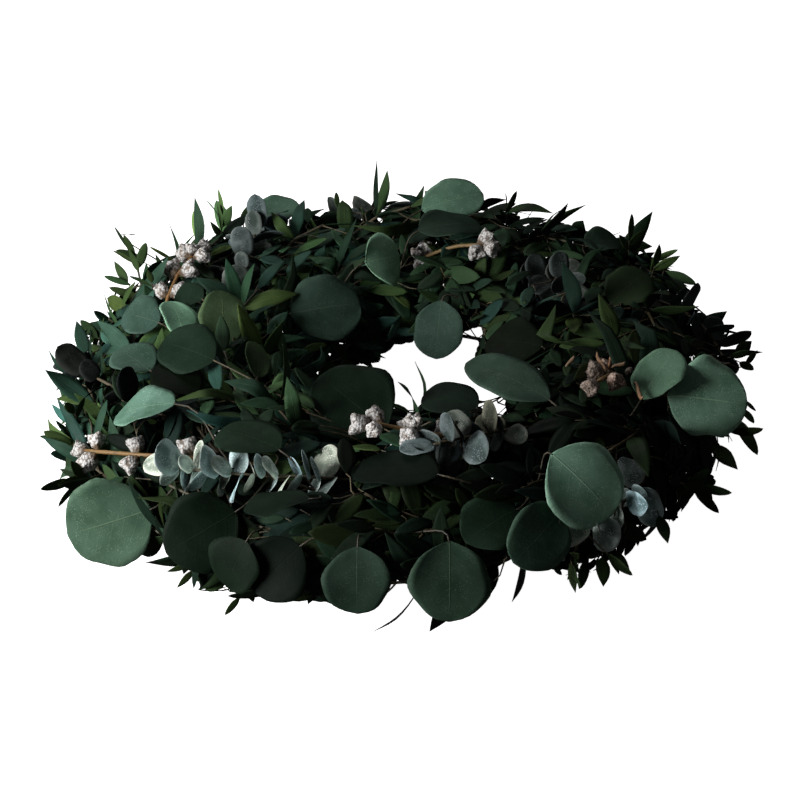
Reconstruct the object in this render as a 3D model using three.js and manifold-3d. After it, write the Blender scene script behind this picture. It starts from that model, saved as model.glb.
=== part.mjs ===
// A fresh evergreen wreath of mixed eucalyptus, lying on its back.
// A low wire ring with closed clamps holds the cut ends of leafy sprays. Every spray leaves its
// clamp, fans out across the ring's section and runs clockwise (seen from above) near the surface.
// Millimetres, +Z up, origin at the bottom centre of the wreath's box.
import * as THREE from 'three'
import Module from 'manifold-3d'
import { mergeVertices } from 'three/addons/utils/BufferGeometryUtils.js'

const wasm = await Module()
wasm.setup()

// ---------------------------------------------------------------- driving dimensions
const RING_RADIUS = 165 // middle line of the leafy ring
const LEAF_REACH = 100 // middle line to the dense leaf surface, sideways
const LEAF_RISE = 60 // middle line to the dense leaf surface, upwards
const MIDDLE_HEIGHT = 46 // middle line above the table
const HOLE_KEEP = 47 // no leaf comes nearer to the wreath's axis
const TABLE_KEEP = 1.2 // no leaf comes nearer to the table

const RAIL_OFFSET = 11 // the two wire rails lie this far in and out of the middle line
const RAIL_SIZE = 3.2
const RAIL_SEGMENTS = 32
const CLAMP_COUNT = 16
const CLAMP_HALF_WIDTH = 14.5
const CLAMP_HEIGHT = 8.6
const CLAMP_LENGTH = 6
const CLAMP_STRIP = 1.8
const WELD = 0.6 // the clamps' strip sinks this far into the rails
const SLOT_PITCH = 6.2 // stems side by side in one clamp
const SEAT_GAP = 0.3 // stem to clamp

const STEM_SIDE = [3.2, 1.9] // of a leafy stem at its cut end and at its last leaf
const TWIG_SIDE = [3.6, 2.8] // and of a gumnut twig
const STEM_DEPTH = 0.86 // stems run at this share of the way out to the leaf surface
const BUTT_TURN = 3 // degrees of the ring that the cut end stands back of its clamp
const STRAIGHT_TURN = 5 // and that the stem runs straight before it climbs
const LONGEST_CHORD = 0.16 // of a stem between two stations
const LEAN_SWEEP = 1.6 // a stem that changes its lean does so mostly towards its tip
const NODE_LENGTH = 4 // length of stem that a pair of leaves grows from
const LEAF_GAP = 0.45 // least distance between two sprays
const BLADE_GAP = 0.15 // least distance between blades of one spray
const BACK_LEAVES_FROM = 90 // the round leaves placed by rule stand behind this line
const SHOULDER_HEIGHT = 50 // and below this height

const STEM_SEAT = RAIL_SIZE - WELD + CLAMP_STRIP + SEAT_GAP
const UP = new THREE.Vector3(0, 0, 1)

// ---------------------------------------------------------------- colours
function paint(color, roughness, metalness = 0) {
  return new THREE.MeshStandardMaterial({ color, roughness, metalness })
}

const roundGreen = paint(0x4b6455, 0.62)
const narrowGreen = paint(0x2b4230, 0.55)
const blueGreen = paint(0x66787a, 0.7)
const gumnutGrey = paint(0x84817a, 0.85)
const ringWire = paint(0x27332b, 0.5, 0.6)

// ---------------------------------------------------------------- small helpers
const radians = (degrees) => THREE.MathUtils.degToRad(degrees)
const mix = THREE.MathUtils.lerp

// Seeded draws between 0 and 1 (the mulberry generator).
function draws(seed) {
  let state = seed >>> 0
  return () => {
    state = (state + 0x6d2b79f5) >>> 0
    let word = Math.imul(state ^ (state >>> 15), state | 1)
    word ^= word + Math.imul(word ^ (word >>> 7), word | 61)
    return ((word ^ (word >>> 14)) >>> 0) / 4294967296
  }
}

// Places are given as on a clock: `clock` is the angle round the wreath (front -90, left 180,
// back 90, right 0), `lean` the angle round the ring's section (0 outward, 90 up, 180 to the hole),
// `depth` 1 on the leaf surface and 0 on the middle line.
function around(clock, radius, height) {
  return new THREE.Vector3(radius * Math.cos(radians(clock)), radius * Math.sin(radians(clock)), height)
}

function place(clock, lean, depth = 1) {
  const radius = RING_RADIUS + LEAF_REACH * depth * Math.cos(radians(lean))
  const height = MIDDLE_HEIGHT + LEAF_RISE * depth * Math.sin(radians(lean))
  return around(clock, radius, height)
}

function outward(clock, lean) {
  const across = Math.cos(radians(lean)) / LEAF_REACH
  const rise = Math.sin(radians(lean)) / LEAF_RISE
  return around(clock, across, rise).normalize()
}

// The part of `vector` square to `axis`, as a unit vector.
function squareTo(vector, axis) {
  return vector.clone().addScaledVector(axis, -vector.dot(axis)).normalize()
}

// ---------------------------------------------------------------- room between solids
// Triangles already placed are kept in a grid of boxes. A new blade is taken only where it is
// clear of them, so no leaf or stem crosses another.
const CELL = 12
const taken = new Map()

function cellsOf(low, high, visit) {
  for (let i = Math.floor(low[0] / CELL); i <= Math.floor(high[0] / CELL); i++) {
    for (let j = Math.floor(low[1] / CELL); j <= Math.floor(high[1] / CELL); j++) {
      for (let k = Math.floor(low[2] / CELL); k <= Math.floor(high[2] / CELL); k++) {
        visit(i * 1e6 + j * 1e3 + k)
      }
    }
  }
}

function facet(owner, a, b, c) {
  const low = [Math.min(a.x, b.x, c.x), Math.min(a.y, b.y, c.y), Math.min(a.z, b.z, c.z)]
  const high = [Math.max(a.x, b.x, c.x), Math.max(a.y, b.y, c.y), Math.max(a.z, b.z, c.z)]
  return { owner, corners: [a, b, c], triangle: new THREE.Triangle(a, b, c), low, high }
}

function occupy(piece) {
  cellsOf(piece.low, piece.high, (key) => {
    if (!taken.has(key)) taken.set(key, [])
    taken.get(key).push(piece)
  })
}

const across = new THREE.Vector3()
const along = new THREE.Vector3()
const between = new THREE.Vector3()

// Squared distance between the segments p-q and r-s.
function segmentGap(p, q, r, s) {
  along.subVectors(q, p)
  across.subVectors(s, r)
  between.subVectors(p, r)
  const a = along.dot(along)
  const e = across.dot(across)
  const f = across.dot(between)
  const b = along.dot(across)
  const c = along.dot(between)
  const denominator = a * e - b * b
  let first = denominator > 1e-12 ? THREE.MathUtils.clamp((b * f - c * e) / denominator, 0, 1) : 0
  let second = (b * first + f) / e
  if (second < 0 || second > 1) {
    second = THREE.MathUtils.clamp(second, 0, 1)
    first = THREE.MathUtils.clamp((b * second - c) / a, 0, 1)
  }
  return between.addScaledVector(along, first).addScaledVector(across, -second).lengthSq()
}

const plane = new THREE.Plane()
const nearest = new THREE.Vector3()

// True where every corner of `one` lies farther than `gap` on one side of the plane of `other`.
function apartBy(one, other, gap) {
  other.triangle.getPlane(plane)
  const sides = one.corners.map((corner) => plane.distanceToPoint(corner))
  return Math.min(...sides) > gap || Math.max(...sides) < -gap
}

function pierces(one, other) {
  other.triangle.getPlane(plane)
  for (let k = 0; k < 3; k++) {
    const from = one.corners[k]
    const to = one.corners[(k + 1) % 3]
    const before = plane.distanceToPoint(from)
    const after = plane.distanceToPoint(to)
    if (before * after < 0) {
      nearest.lerpVectors(from, to, before / (before - after))
      if (other.triangle.containsPoint(nearest)) return true
    }
  }
  return false
}

function tooNear(one, other, gap) {
  for (let axis = 0; axis < 3; axis++) {
    if (one.low[axis] > other.high[axis] + gap || other.low[axis] > one.high[axis] + gap) return false
  }
  if (apartBy(one, other, gap) || apartBy(other, one, gap)) return false
  if (pierces(one, other) || pierces(other, one)) return true
  for (let k = 0; k < 3; k++) {
    for (let m = 0; m < 3; m++) {
      const [p, q] = [one.corners[k], one.corners[(k + 1) % 3]]
      const [r, s] = [other.corners[m], other.corners[(m + 1) % 3]]
      if (segmentGap(p, q, r, s) < gap * gap) return true
    }
    one.triangle.closestPointToPoint(other.corners[k], nearest)
    if (nearest.distanceTo(other.corners[k]) < gap) return true
    other.triangle.closestPointToPoint(one.corners[k], nearest)
    if (nearest.distanceTo(one.corners[k]) < gap) return true
  }
  return false
}

function clash(piece) {
  const low = piece.low.map((value) => value - LEAF_GAP)
  const high = piece.high.map((value) => value + LEAF_GAP)
  if (piece.low[2] < TABLE_KEEP) return true
  if (piece.corners.some((corner) => Math.hypot(corner.x, corner.y) < HOLE_KEEP)) return true
  let found = false
  const seen = new Set()
  cellsOf(low, high, (key) => {
    if (found || !taken.has(key)) return
    for (const other of taken.get(key)) {
      if (seen.has(other)) continue
      seen.add(other)
      const kin = other.owner === piece.owner
      if (kin && piece.corners.some((corner) => other.corners.includes(corner))) continue
      const gap = other.owner === 'clamp_ring' ? SEAT_GAP * 0.8 : LEAF_GAP
      if (tooNear(piece, other, kin ? BLADE_GAP : gap)) {
        found = true
        return
      }
    }
  })
  return found
}

const group = new THREE.Group()
function meshOf(name, faces, material) {
  const positions = faces.flatMap(({ corners }) => corners.flatMap((corner) => corner.toArray()))
  const geometry = new THREE.BufferGeometry()
  geometry.setAttribute('position', new THREE.Float32BufferAttribute(positions, 3))
  const mesh = new THREE.Mesh(geometry, material)
  mesh.name = name
  return mesh
}
// ---------------------------------------------------------------- the wire ring and its clamps
// Two flat-bottomed rails, with closed clamps bent round the stems and welded across them.
function solidOf(geometry) {
  geometry.deleteAttribute('normal')
  geometry.deleteAttribute('uv')
  const merged = mergeVertices(geometry, 1e-4)
  const vertProperties = new Float32Array(merged.attributes.position.array)
  const triVerts = new Uint32Array(merged.index.array)
  return new wasm.Manifold(new wasm.Mesh({ numProp: 3, vertProperties, triVerts }))
}

function rail(radius) {
  const half = RAIL_SIZE / 2
  const profile = [
    [radius - half, 0], [radius + half, 0], [radius + half, RAIL_SIZE], [radius - half, RAIL_SIZE],
  ]
  const points = [...profile, profile[0]].map(([x, y]) => new THREE.Vector2(x, y))
  return new THREE.LatheGeometry(points, RAIL_SEGMENTS).rotateX(Math.PI / 2)
}

function clamp(clock) {
  const outer = new THREE.Shape()
  const low = RAIL_SIZE - WELD
  outer.moveTo(-CLAMP_HALF_WIDTH, low)
  outer.lineTo(CLAMP_HALF_WIDTH, low)
  outer.lineTo(CLAMP_HALF_WIDTH - 1, low + CLAMP_HEIGHT)
  outer.lineTo(1 - CLAMP_HALF_WIDTH, low + CLAMP_HEIGHT)
  outer.closePath()
  const inner = new THREE.Path()
  const inset = CLAMP_STRIP
  const innerHalf = CLAMP_HALF_WIDTH - 1.4 * inset
  const innerTop = low + CLAMP_HEIGHT - inset
  inner.moveTo(-innerHalf, low + inset)
  inner.lineTo(innerHalf, low + inset)
  inner.lineTo(innerHalf - 0.5, innerTop)
  inner.lineTo(-innerHalf + 0.5, innerTop)
  inner.closePath()
  outer.holes.push(inner)
  const strip = new THREE.ExtrudeGeometry(outer, { depth: CLAMP_LENGTH, bevelEnabled: false })
  strip.translate(0, 0, -CLAMP_LENGTH / 2).rotateX(Math.PI / 2).translate(RING_RADIUS, 0, 0)
  return strip.rotateZ(radians(clock))
}

function clampRing() {
  let ring = solidOf(rail(RING_RADIUS - RAIL_OFFSET)).add(solidOf(rail(RING_RADIUS + RAIL_OFFSET)))
  for (let k = 0; k < CLAMP_COUNT; k++) ring = ring.add(solidOf(clamp((360 / CLAMP_COUNT) * k)))
  const { vertProperties, triVerts } = ring.getMesh()
  const geometry = new THREE.BufferGeometry()
  geometry.setAttribute('position', new THREE.BufferAttribute(new Float32Array(vertProperties), 3))
  geometry.setIndex(new THREE.BufferAttribute(new Uint32Array(triVerts), 1))
  const mesh = new THREE.Mesh(geometry, ringWire)
  mesh.name = 'clamp_ring'
  return mesh
}

const ring = clampRing()
group.add(ring)
const ringSpots = ring.geometry.attributes.position
const ringCorner = (index) => new THREE.Vector3().fromBufferAttribute(ringSpots, index)
for (let k = 0; k < ring.geometry.index.count; k += 3) {
  const [a, b, c] = [0, 1, 2].map((step) => ringCorner(ring.geometry.index.getX(k + step)))
  occupy(facet('clamp_ring', a, b, c))
}

// ---------------------------------------------------------------- stems
// A stem is a square tube. At each node four of its facets are free for leaves: up, left, down, right.
class Spray {
  constructor({ kind, row, number, slot }) {
    const [clamp, lean, turn, lift, more = {}] = row
    const { shares, from = lean, climbed = 1 } = more
    Object.assign(this, { kind, clamp, lean, turn, lift, shares, from, climbed, slot })
    this.name = `${kind.name}_${String(number).padStart(2, '0')}`
    this.straight = STRAIGHT_TURN / (turn + BUTT_TURN)
    this.faces = []
    this.free = []
    this.build()
  }

  // Point and outward direction of the stem at a share of its turn round the wreath.
  at(share) {
    const past = THREE.MathUtils.clamp((share - this.straight) / (1 - this.straight), 0, 1)
    const climb = Math.sin((Math.PI / 2) * Math.min(1, past / this.climbed))
    const clock = this.clamp + BUTT_TURN - (this.turn + BUTT_TURN) * share
    const lean = mix(this.from, this.lean, Math.max(0, share) ** LEAN_SWEEP)
    const end = place(clock, lean, STEM_DEPTH)
    const radius = mix(RING_RADIUS + this.slot, Math.hypot(end.x, end.y), climb)
    const height = mix(STEM_SEAT + this.kind.side[0] / 2, end.z, climb)
    const out = outward(clock, lean)
    const point = around(clock, radius, height)
    point.addScaledVector(out, this.lift * THREE.MathUtils.smoothstep(share, 0.6, 1))
    return { point, out: UP.clone().lerp(out, climb).normalize() }
  }

  // Four corners round the stem, in the order up-left, down-left, down-right, up-right.
  section(share, side) {
    const { point, out } = this.at(share)
    const way = this.at(share + 0.01).point.sub(this.at(share - 0.01).point).normalize()
    const up = squareTo(out, way)
    const left = new THREE.Vector3().crossVectors(up, way)
    const half = side / 2
    const corner = (x, y) => point.clone().addScaledVector(left, x * half).addScaledVector(up, y * half)
    return { point, way, up, left, corners: [corner(1, 1), corner(1, -1), corner(-1, -1), corner(-1, 1)] }
  }

  // Stations along the stem: its cut end, the end of its straight run, and both ends of each node.
  build() {
    const { bare, spacing, side } = this.kind
    this.length = 0
    for (let step = 1; step <= 60; step++) {
      this.length += this.at(step / 60).point.distanceTo(this.at((step - 1) / 60).point)
    }
    const nodeShare = NODE_LENGTH / this.length
    const count = Math.round(((1 - bare) * this.length) / spacing)
    const evenly = Array.from({ length: count }, (_, k) => mix(bare, 1 - nodeShare, k / count))
    const begins = this.shares ?? evenly
    const stations = [0, this.straight]
    const nodeAt = new Map()
    begins.forEach((begin, node) => {
      const gap = begin - stations.at(-1)
      const steps = Math.ceil(gap / LONGEST_CHORD)
      for (let k = 1; k < steps; k++) stations.push(begin - (gap * (steps - k)) / steps)
      nodeAt.set(stations.length, node)
      stations.push(begin, begin + nodeShare)
    })
    stations.push(1)
    const sections = stations.map((share) => this.section(share, mix(side[0], side[1], share)))
    const root = sections[0]
    for (let k = 0; k < 4; k++) this.face(root.point, root.corners[k], root.corners[(k + 1) % 4])
    for (let i = 0; i + 1 < sections.length; i++) {
      for (let k = 0; k < 4; k++) this.side(sections[i], sections[i + 1], k, nodeAt.get(i))
    }
    const last = sections.at(-1)
    const quad = [...last.corners].reverse()
    this.free.push({ quad, out: last.way, way: last.way, up: last.up, node: begins.length, side: 'end' })
  }

  // One side of a stem length: closed at once between nodes, kept open for a leaf at a node.
  side(near, far, k, node) {
    const m = (k + 1) % 4
    const quad = [near.corners[k], near.corners[m], far.corners[m], far.corners[k]]
    const centre = quad.reduce((sum, corner) => sum.add(corner), new THREE.Vector3()).multiplyScalar(0.25)
    const out = centre.clone().sub(near.point.clone().add(far.point).multiplyScalar(0.5)).normalize()
    if (node === undefined) {
      this.face(quad[0], quad[2], quad[1])
      this.face(quad[0], quad[3], quad[2])
      return
    }
    const outwardQuad = [quad[0], quad[3], quad[2], quad[1]]
    const side = ['left', 'down', 'right', 'up'][k]
    this.free.push({ quad: outwardQuad, out, way: near.way, up: near.up, node, side })
  }

  face(a, b, c) {
    this.faces.push(facet(this.name, a, b, c))
  }

  // Every facet that carries no leaf is closed flat.
  close() {
    for (const { quad } of this.free) {
      this.face(quad[0], quad[1], quad[2])
      this.face(quad[0], quad[2], quad[3])
    }
    this.free = []
  }

  // The facets' triangles stand in for the open places while other sprays look for room.
  claimStem() {
    this.faces.forEach(occupy)
    for (const { quad } of this.free) {
      occupy(facet(this.name, quad[0], quad[1], quad[2]))
      occupy(facet(this.name, quad[0], quad[2], quad[3]))
    }
  }
}

// ---------------------------------------------------------------- leaves
// A blade is a run of four-cornered sections (left edge, top rib, right edge, bottom rib) from a
// facet of the stem to a point. `cut` lists the sections as [share of length, half width, rib].
const roundCut = [[0, 0.05, 1.6], [0.15, 0.66, 1.5], [0.42, 1, 1.5], [0.7, 0.92, 1.3], [0.92, 0.5, 1.1]]
const narrowCut = [[0.3, 0.9, 1.4], [0.64, 0.92, 1.2]]
const blueCut = [[0.36, 0.96, 1.4], [0.78, 0.88, 1.2]]

function bladeRings(blade, cut) {
  const side = new THREE.Vector3().crossVectors(blade.axis, blade.normal).normalize()
  const spine = (share) => {
    const bow = blade.bow * blade.length * 4 * share * (1 - share)
    const droop = -blade.droop * blade.length * share * share
    return blade.base
      .clone()
      .addScaledVector(blade.axis, blade.length * share)
      .addScaledVector(blade.normal, bow + droop)
  }
  const rings = cut.map(([share, half, rib]) => {
    const middle = spine(share)
    const reach = Math.max(0.9, (half * blade.width) / 2)
    const edge = (way) => {
      const lifted = middle.clone().addScaledVector(side, way * reach)
      return lifted.addScaledVector(blade.normal, blade.fold * reach)
    }
    const top = middle.clone().addScaledVector(blade.normal, rib / 2)
    const bottom = middle.clone().addScaledVector(blade.normal, -rib / 2)
    return [edge(-1), top, edge(1), bottom]
  })
  return { rings, tip: spine(1) }
}

// Triangles of one blade grown from a facet, split alike on the upper and lower face.
function bladeFaces(spray, open, blade, cut) {
  const { rings, tip } = bladeRings(blade, cut)
  const centre = (ring) => ring.reduce((sum, p) => sum.add(p), new THREE.Vector3()).multiplyScalar(0.25)
  const middle = centre(open.quad)
  const target = centre(rings[0])
  let best = null
  for (let shift = 0; shift < 4; shift++) {
    const turned = [0, 1, 2, 3].map((k) => open.quad[(k + shift) % 4])
    const fit = turned.reduce((sum, corner, k) => {
      const from = corner.clone().sub(middle).normalize()
      return sum + from.dot(rings[0][k].clone().sub(target).normalize())
    }, 0)
    if (!best || fit > best.fit) best = { fit, turned }
  }
  if (best.fit < 1.3) return null
  const loops = [best.turned, ...rings]
  const faces = []
  for (let i = 0; i + 1 < loops.length; i++) {
    for (let k = 0; k < 4; k++) {
      const m = (k + 1) % 4
      const edgeFirst = k % 2 === 0
      const [near, far] = [loops[i], loops[i + 1]]
      if (edgeFirst) {
        faces.push([near[k], near[m], far[m]], [near[k], far[m], far[k]])
      } else {
        faces.push([near[k], near[m], far[k]], [near[m], far[m], far[k]])
      }
    }
  }
  const last = loops.at(-1)
  for (let k = 0; k < 4; k++) faces.push([last[k], last[(k + 1) % 4], tip])
  return faces.map(([a, b, c]) => facet(spray.name, a, b, c))
}

// Takes the facet for this blade if the blade is clear of everything placed before it.
function grow(spray, open, blade, cut) {
  const faces = bladeFaces(spray, open, blade, cut)
  if (!faces || faces.some(clash)) return false
  spray.free.splice(spray.free.indexOf(open), 1)
  spray.faces.push(...faces)
  faces.forEach(occupy)
  return true
}

// A leaf that lies in a known place: its stalk runs straight to it from the nearest good facet.
function seatedBlade(row, nudge) {
  const [clock, lean, lift, heading, rise, roll, length, width] = row
  const [moreLift, moreHeading, moreRise] = nudge
  const level = radians(rise + moreRise)
  const bearing = radians(heading + moreHeading)
  const flat = Math.cos(level)
  const axis = new THREE.Vector3(flat * Math.cos(bearing), flat * Math.sin(bearing), Math.sin(level))
  const out = outward(clock, lean)
  const normal = squareTo(out, axis).applyAxisAngle(axis, radians(roll))
  const centre = place(clock, lean).addScaledVector(out, lift + moreLift)
  const base = centre.clone().addScaledVector(axis, -length / 2)
  return { base, axis, normal, length, width, bow: 0.05, droop: 0.03, fold: 0.06 }
}

function stalkCost(open, blade) {
  const centre = open.quad.reduce((sum, corner) => sum.add(corner), new THREE.Vector3()).multiplyScalar(0.25)
  const stalk = blade.base.clone().sub(centre)
  const length = stalk.length()
  stalk.normalize()
  return length + 40 * (1 - stalk.dot(open.out)) + 30 * (1 - stalk.dot(blade.axis))
}

const NUDGES = [
  [0, 0, 0], [4, 0, 0], [-4, 0, 0], [8, 0, 0], [3, 10, 0], [3, -10, 0], [6, 0, 10], [6, 0, -10],
  [12, 0, 0], [8, 20, 5], [8, -20, 5], [14, 10, 10], [14, -10, -10], [18, 0, 0], [5, 30, 0], [5, -30, 0],
  [10, 0, 20], [10, 0, -20], [16, 25, 10], [16, -25, 10],
]
const LONGEST_STALK = 90
const FACETS_TRIED = 40

function growSeated(sprays, row, cut) {
  for (const nudge of NUDGES) {
    const blade = seatedBlade(row, nudge)
    const choices = sprays.flatMap((spray) => spray.free.map((open) => [stalkCost(open, blade), spray, open]))
    choices.sort((one, other) => one[0] - other[0])
    for (const [cost, spray, open] of choices.slice(0, FACETS_TRIED)) {
      if (cost < LONGEST_STALK && grow(spray, open, blade, cut)) return true
    }
  }
  return false
}

// A leaf by rule: it leaves its facet sideways and forward, a little way up, and is turned and
// shortened in up to `tries` draws until there is room for it.
function growByRule(spray, open, habit, random) {
  const centre = open.quad.reduce((sum, corner) => sum.add(corner), new THREE.Vector3()).multiplyScalar(0.25)
  for (let attempt = 0; attempt < habit.tries; attempt++) {
    const spread = radians(mix(habit.spread[0], habit.spread[1], random()))
    const pitch = mix(habit.pitch[0], habit.pitch[1], random())
    const roll = radians((random() * 2 - 1) * habit.roll)
    const size = mix(habit.length[0], habit.length[1], random()) * (1 - 0.035 * attempt)
    const ratio = mix(habit.ratio[0], habit.ratio[1], random())
    const axis = open.way.clone().multiplyScalar(Math.cos(spread)).addScaledVector(open.out, Math.sin(spread))
    if (open.side === 'end') axis.copy(open.way).addScaledVector(open.up, 0.2 * (random() - 0.3))
    axis.addScaledVector(open.up, pitch).normalize()
    const face = habit.facing === 'forward' ? open.way.clone().addScaledVector(open.up, 0.8) : open.up
    const normal = squareTo(face, axis).applyAxisAngle(axis, roll)
    const base = centre.clone().addScaledVector(axis, habit.stalk)
    const bow = (random() - 0.35) * habit.bow
    const shape = { length: size, width: size * ratio, bow, droop: 0.05, fold: habit.fold }
    const blade = { base, axis, normal, ...shape }
    if (grow(spray, open, blade, habit.cut)) return true
  }
  return false
}

const narrowHabit = {
  cut: narrowCut, stalk: 0, length: [36, 54], ratio: [0.26, 0.36], spread: [28, 66], pitch: [-0.15, 0.55],
  roll: 50, bow: 0.25, fold: 0.12, tries: 14,
}
const roundHabit = {
  cut: roundCut, stalk: 9, length: [36, 52], ratio: [0.86, 1.02], spread: [40, 75], pitch: [0, 0.5],
  roll: 40, bow: 0.1, fold: 0.06, tries: 16,
}
const blueHabit = {
  cut: blueCut, stalk: 0.6, length: [22, 31], ratio: [0.68, 0.84], spread: [62, 84], pitch: [-0.1, 0.25],
  roll: 14, bow: 0.12, fold: 0.05, facing: 'forward', tries: 16,
}

// ---------------------------------------------------------------- gumnuts
// A seed case grows from a facet through two eight-sided rings to a blunt top.
const POD_RADIUS = 4.6
const POD_LENGTH = 9.5

function podFaces(spray, open, lean, size) {
  const centre = open.quad.reduce((sum, corner) => sum.add(corner), new THREE.Vector3()).multiplyScalar(0.25)
  const axis = open.out.clone().addScaledVector(open.way, lean).normalize()
  const start = squareTo(open.quad[0].clone().sub(centre), axis)
  const ring = (distance, radius) =>
    Array.from({ length: 8 }, (_, k) => {
      const spoke = start.clone().applyAxisAngle(axis, radians(45 * k - 22.5)).multiplyScalar(radius)
      return centre.clone().addScaledVector(axis, distance * size).add(spoke)
    })
  const belly = ring(POD_LENGTH * 0.42, POD_RADIUS * size)
  const rim = ring(POD_LENGTH * 0.82, POD_RADIUS * 0.86 * size)
  const top = centre.clone().addScaledVector(axis, POD_LENGTH * size)
  const faces = []
  for (let k = 0; k < 4; k++) {
    const m = (k + 1) % 4
    const [here, next, after] = [belly[2 * k], belly[2 * k + 1], belly[(2 * k + 2) % 8]]
    faces.push([open.quad[k], next, here], [open.quad[k], open.quad[m], next], [open.quad[m], after, next])
  }
  for (let k = 0; k < 8; k++) {
    const m = (k + 1) % 8
    faces.push([belly[k], belly[m], rim[m]], [belly[k], rim[m], rim[k]], [rim[k], rim[m], top])
  }
  return faces.map(([a, b, c]) => facet(spray.name, a, b, c))
}

function growPod(spray, open, random) {
  for (let attempt = 0; attempt < 12; attempt++) {
    const faces = podFaces(spray, open, 0.5 + 0.5 * random(), mix(0.85, 1.1, random()) * (1 - 0.03 * attempt))
    if (faces.some(clash)) continue
    spray.free.splice(spray.free.indexOf(open), 1)
    spray.faces.push(...faces)
    faces.forEach(occupy)
    return true
  }
  return false
}

// ---------------------------------------------------------------- the sprays
// Each row: clamp clock, lean at the tip, turn round the wreath, lift of the last part, and where
// they are needed: `shares` of its length where its nodes sit, the lean that it comes `from`, and
// the share of its run in which it has `climbed` to its full height.
const roundSprays = [
  [-45, 33, 52, 0], [-67.5, 30, 55, 0], [-90, 36, 52, 0], [-22.5, 48, 50, 0], [22.5, 48, 50, 0],
  [-67.5, 62, 58, 0], [-112.5, 80, 55, 0], [-135, 92, 55, 0], [180, 145, 60, 0], [112.5, 90, 48, 6],
  [135, 127, 50, 0], [90, 142, 55, 0], [-67.5, 120, 55, 0], [-22.5, 110, 55, 0], [22.5, 128, 55, 0],
  [157.5, 48, 50, 0], [67.5, 68, 58, 0], [112.5, 10, 45, 0], [0, 2, 45, 0], [-157.5, 5, 45, 0],
]
const FRONT_PAIRS = [0.56, 0.62, 0.68, 0.74, 0.8, 0.86, 0.92, 0.97]
const blueSprays = [
  [-67.5, 45, 66.5, 8, { from: 84, climbed: 0.7, shares: FRONT_PAIRS }],
  [-112.5, 32, 65.5, 17, { from: 105 }],
  [180, 65, 62, 14, { from: 125, climbed: 0.8 }],
  [-22.5, 77, 60, 12, { from: 92, climbed: 0.75, shares: [0.7, 0.78, 0.86, 0.94] }],
  [45, 8, 52, 10, { from: 90, climbed: 0.8 }],
  [0, 12, 60, 8, { from: 24, shares: [0.78, 0.86, 0.94] }], [67.5, 100, 52, 6], [135, 25, 45, 6],
]
const gumnutTwigs = [
  [-90, 21, 65, 10, { from: 98, climbed: 0.7, shares: [0.68, 0.82, 0.95] }],
  [-45, 90, 51, 17, { climbed: 0.55, shares: [0.5, 0.63, 0.8, 0.95] }],
  [0, 75, 40, 16, { climbed: 0.8, shares: [0.7, 0.88] }], [-22.5, 10, 45, 8, { shares: [0.95] }],
  [112.5, 112, 60, 15, { climbed: 0.8, shares: [0.57, 0.95] }],
  [-157.5, 74, 58, 18, { climbed: 0.8, shares: [0.74, 0.85, 0.96] }],
]
const narrowSprays = [
  [-45, -4, 50, 2], [-45, 140, 50, 2], [-90, 112, 50, 6], [-90, 0, 50, 2], [-112.5, 10, 50, 4],
  [-112.5, 112, 56, 6], [-135, 30, 50, 6], [-135, 65, 52, 6], [-135, 140, 56, 2], [-157.5, 45, 50, 8],
  [-157.5, 115, 56, 6], [180, 15, 50, 8], [180, 55, 50, 10], [157.5, 85, 50, 8], [157.5, 125, 56, 4],
  [135, 78, 52, 12], [112.5, 62, 52, 6], [90, 20, 48, 6], [90, 75, 52, 6], [67.5, 35, 48, 6],
  [45, 0, 48, 4], [45, 65, 52, 6], [45, 105, 54, 6], [22.5, 85, 52, 8], [0, 45, 50, 6],
]

// Leaves that can be told apart, where they lie: clock, lean, lift off the leaf surface, heading
// and rise of the midrib, roll about it, length, width.
const roundLeaves = [
  [-140, 5, 8, -173, -12, 0, 63, 67], [-122, 23, 5, -160, -20, -20, 56, 54],
  [-109, 13, 5, -164, -38, 10, 46, 48], [-115, 12, -1, -169, -44, 10, 40, 42],
  [-97, 10, 6, -98, -63, 2, 46, 48], [-84, 7, 8, -97, -62, 0, 55, 55],
  [-76, 33, -2, -139, 0, 18, 50, 44], [-70, 21, 1, -131, -12, -3, 54, 48],
  [-60, 38, 7, -27, -41, 8, 60, 64], [-26, 33, 7, -3, -10, 32, 60, 60],
  [-28, 59, 6, 49, 23, -18, 50, 38], [71, 82, 12, 16, 5, 30, 56, 44],
  [68, 102, 4, 19, -6, 0, 56, 46], [92, 126, 5, 42, -12, 40, 40, 46],
  [132, 146, 4, 26, -3, 10, 60, 56], [53, 166, 5, -108, -59, -16, 48, 42],
  [176, 109, 6, 87, 45, 13, 46, 42], [178, 90, 6, 108, 23, 22, 40, 32],
  [175, 73, 6, 146, 0, -26, 36, 36], [-167, 70, 6, 136, 9, 6, 38, 36],
  [-162, 92, 2, 146, 4, -28, 50, 44], [-157, 84, -2, 129, 14, 4, 44, 40],
  [-148, 62, 8, 162, -18, 10, 52, 46], [-107, 124, 0, 141, 24, -50, 66, 64],
  [-123, 75, 2, 146, 3, 8, 52, 48], [-71, 115, 0, 143, 0, -15, 46, 40],
  [-52, 108, 4, 142, 8, -13, 74, 40], [-20, 130, 0, 147, -8, -16, 50, 42],
  [-91, 67, 0, 156, -7, 9, 66, 44], [-110, 43, 6, 162, -10, 38, 46, 34],
  [114, 48, 3, 8, 9, 40, 46, 36], [167, 92, 10, 139, -4, -30, 30, 24],
  [-157, 121, 4, 92, 23, 22, 34, 26], [33, 61, 0, 30, -11, 20, 36, 30],
  [7, 76, 2, 42, 15, 10, 44, 40],
]
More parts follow.
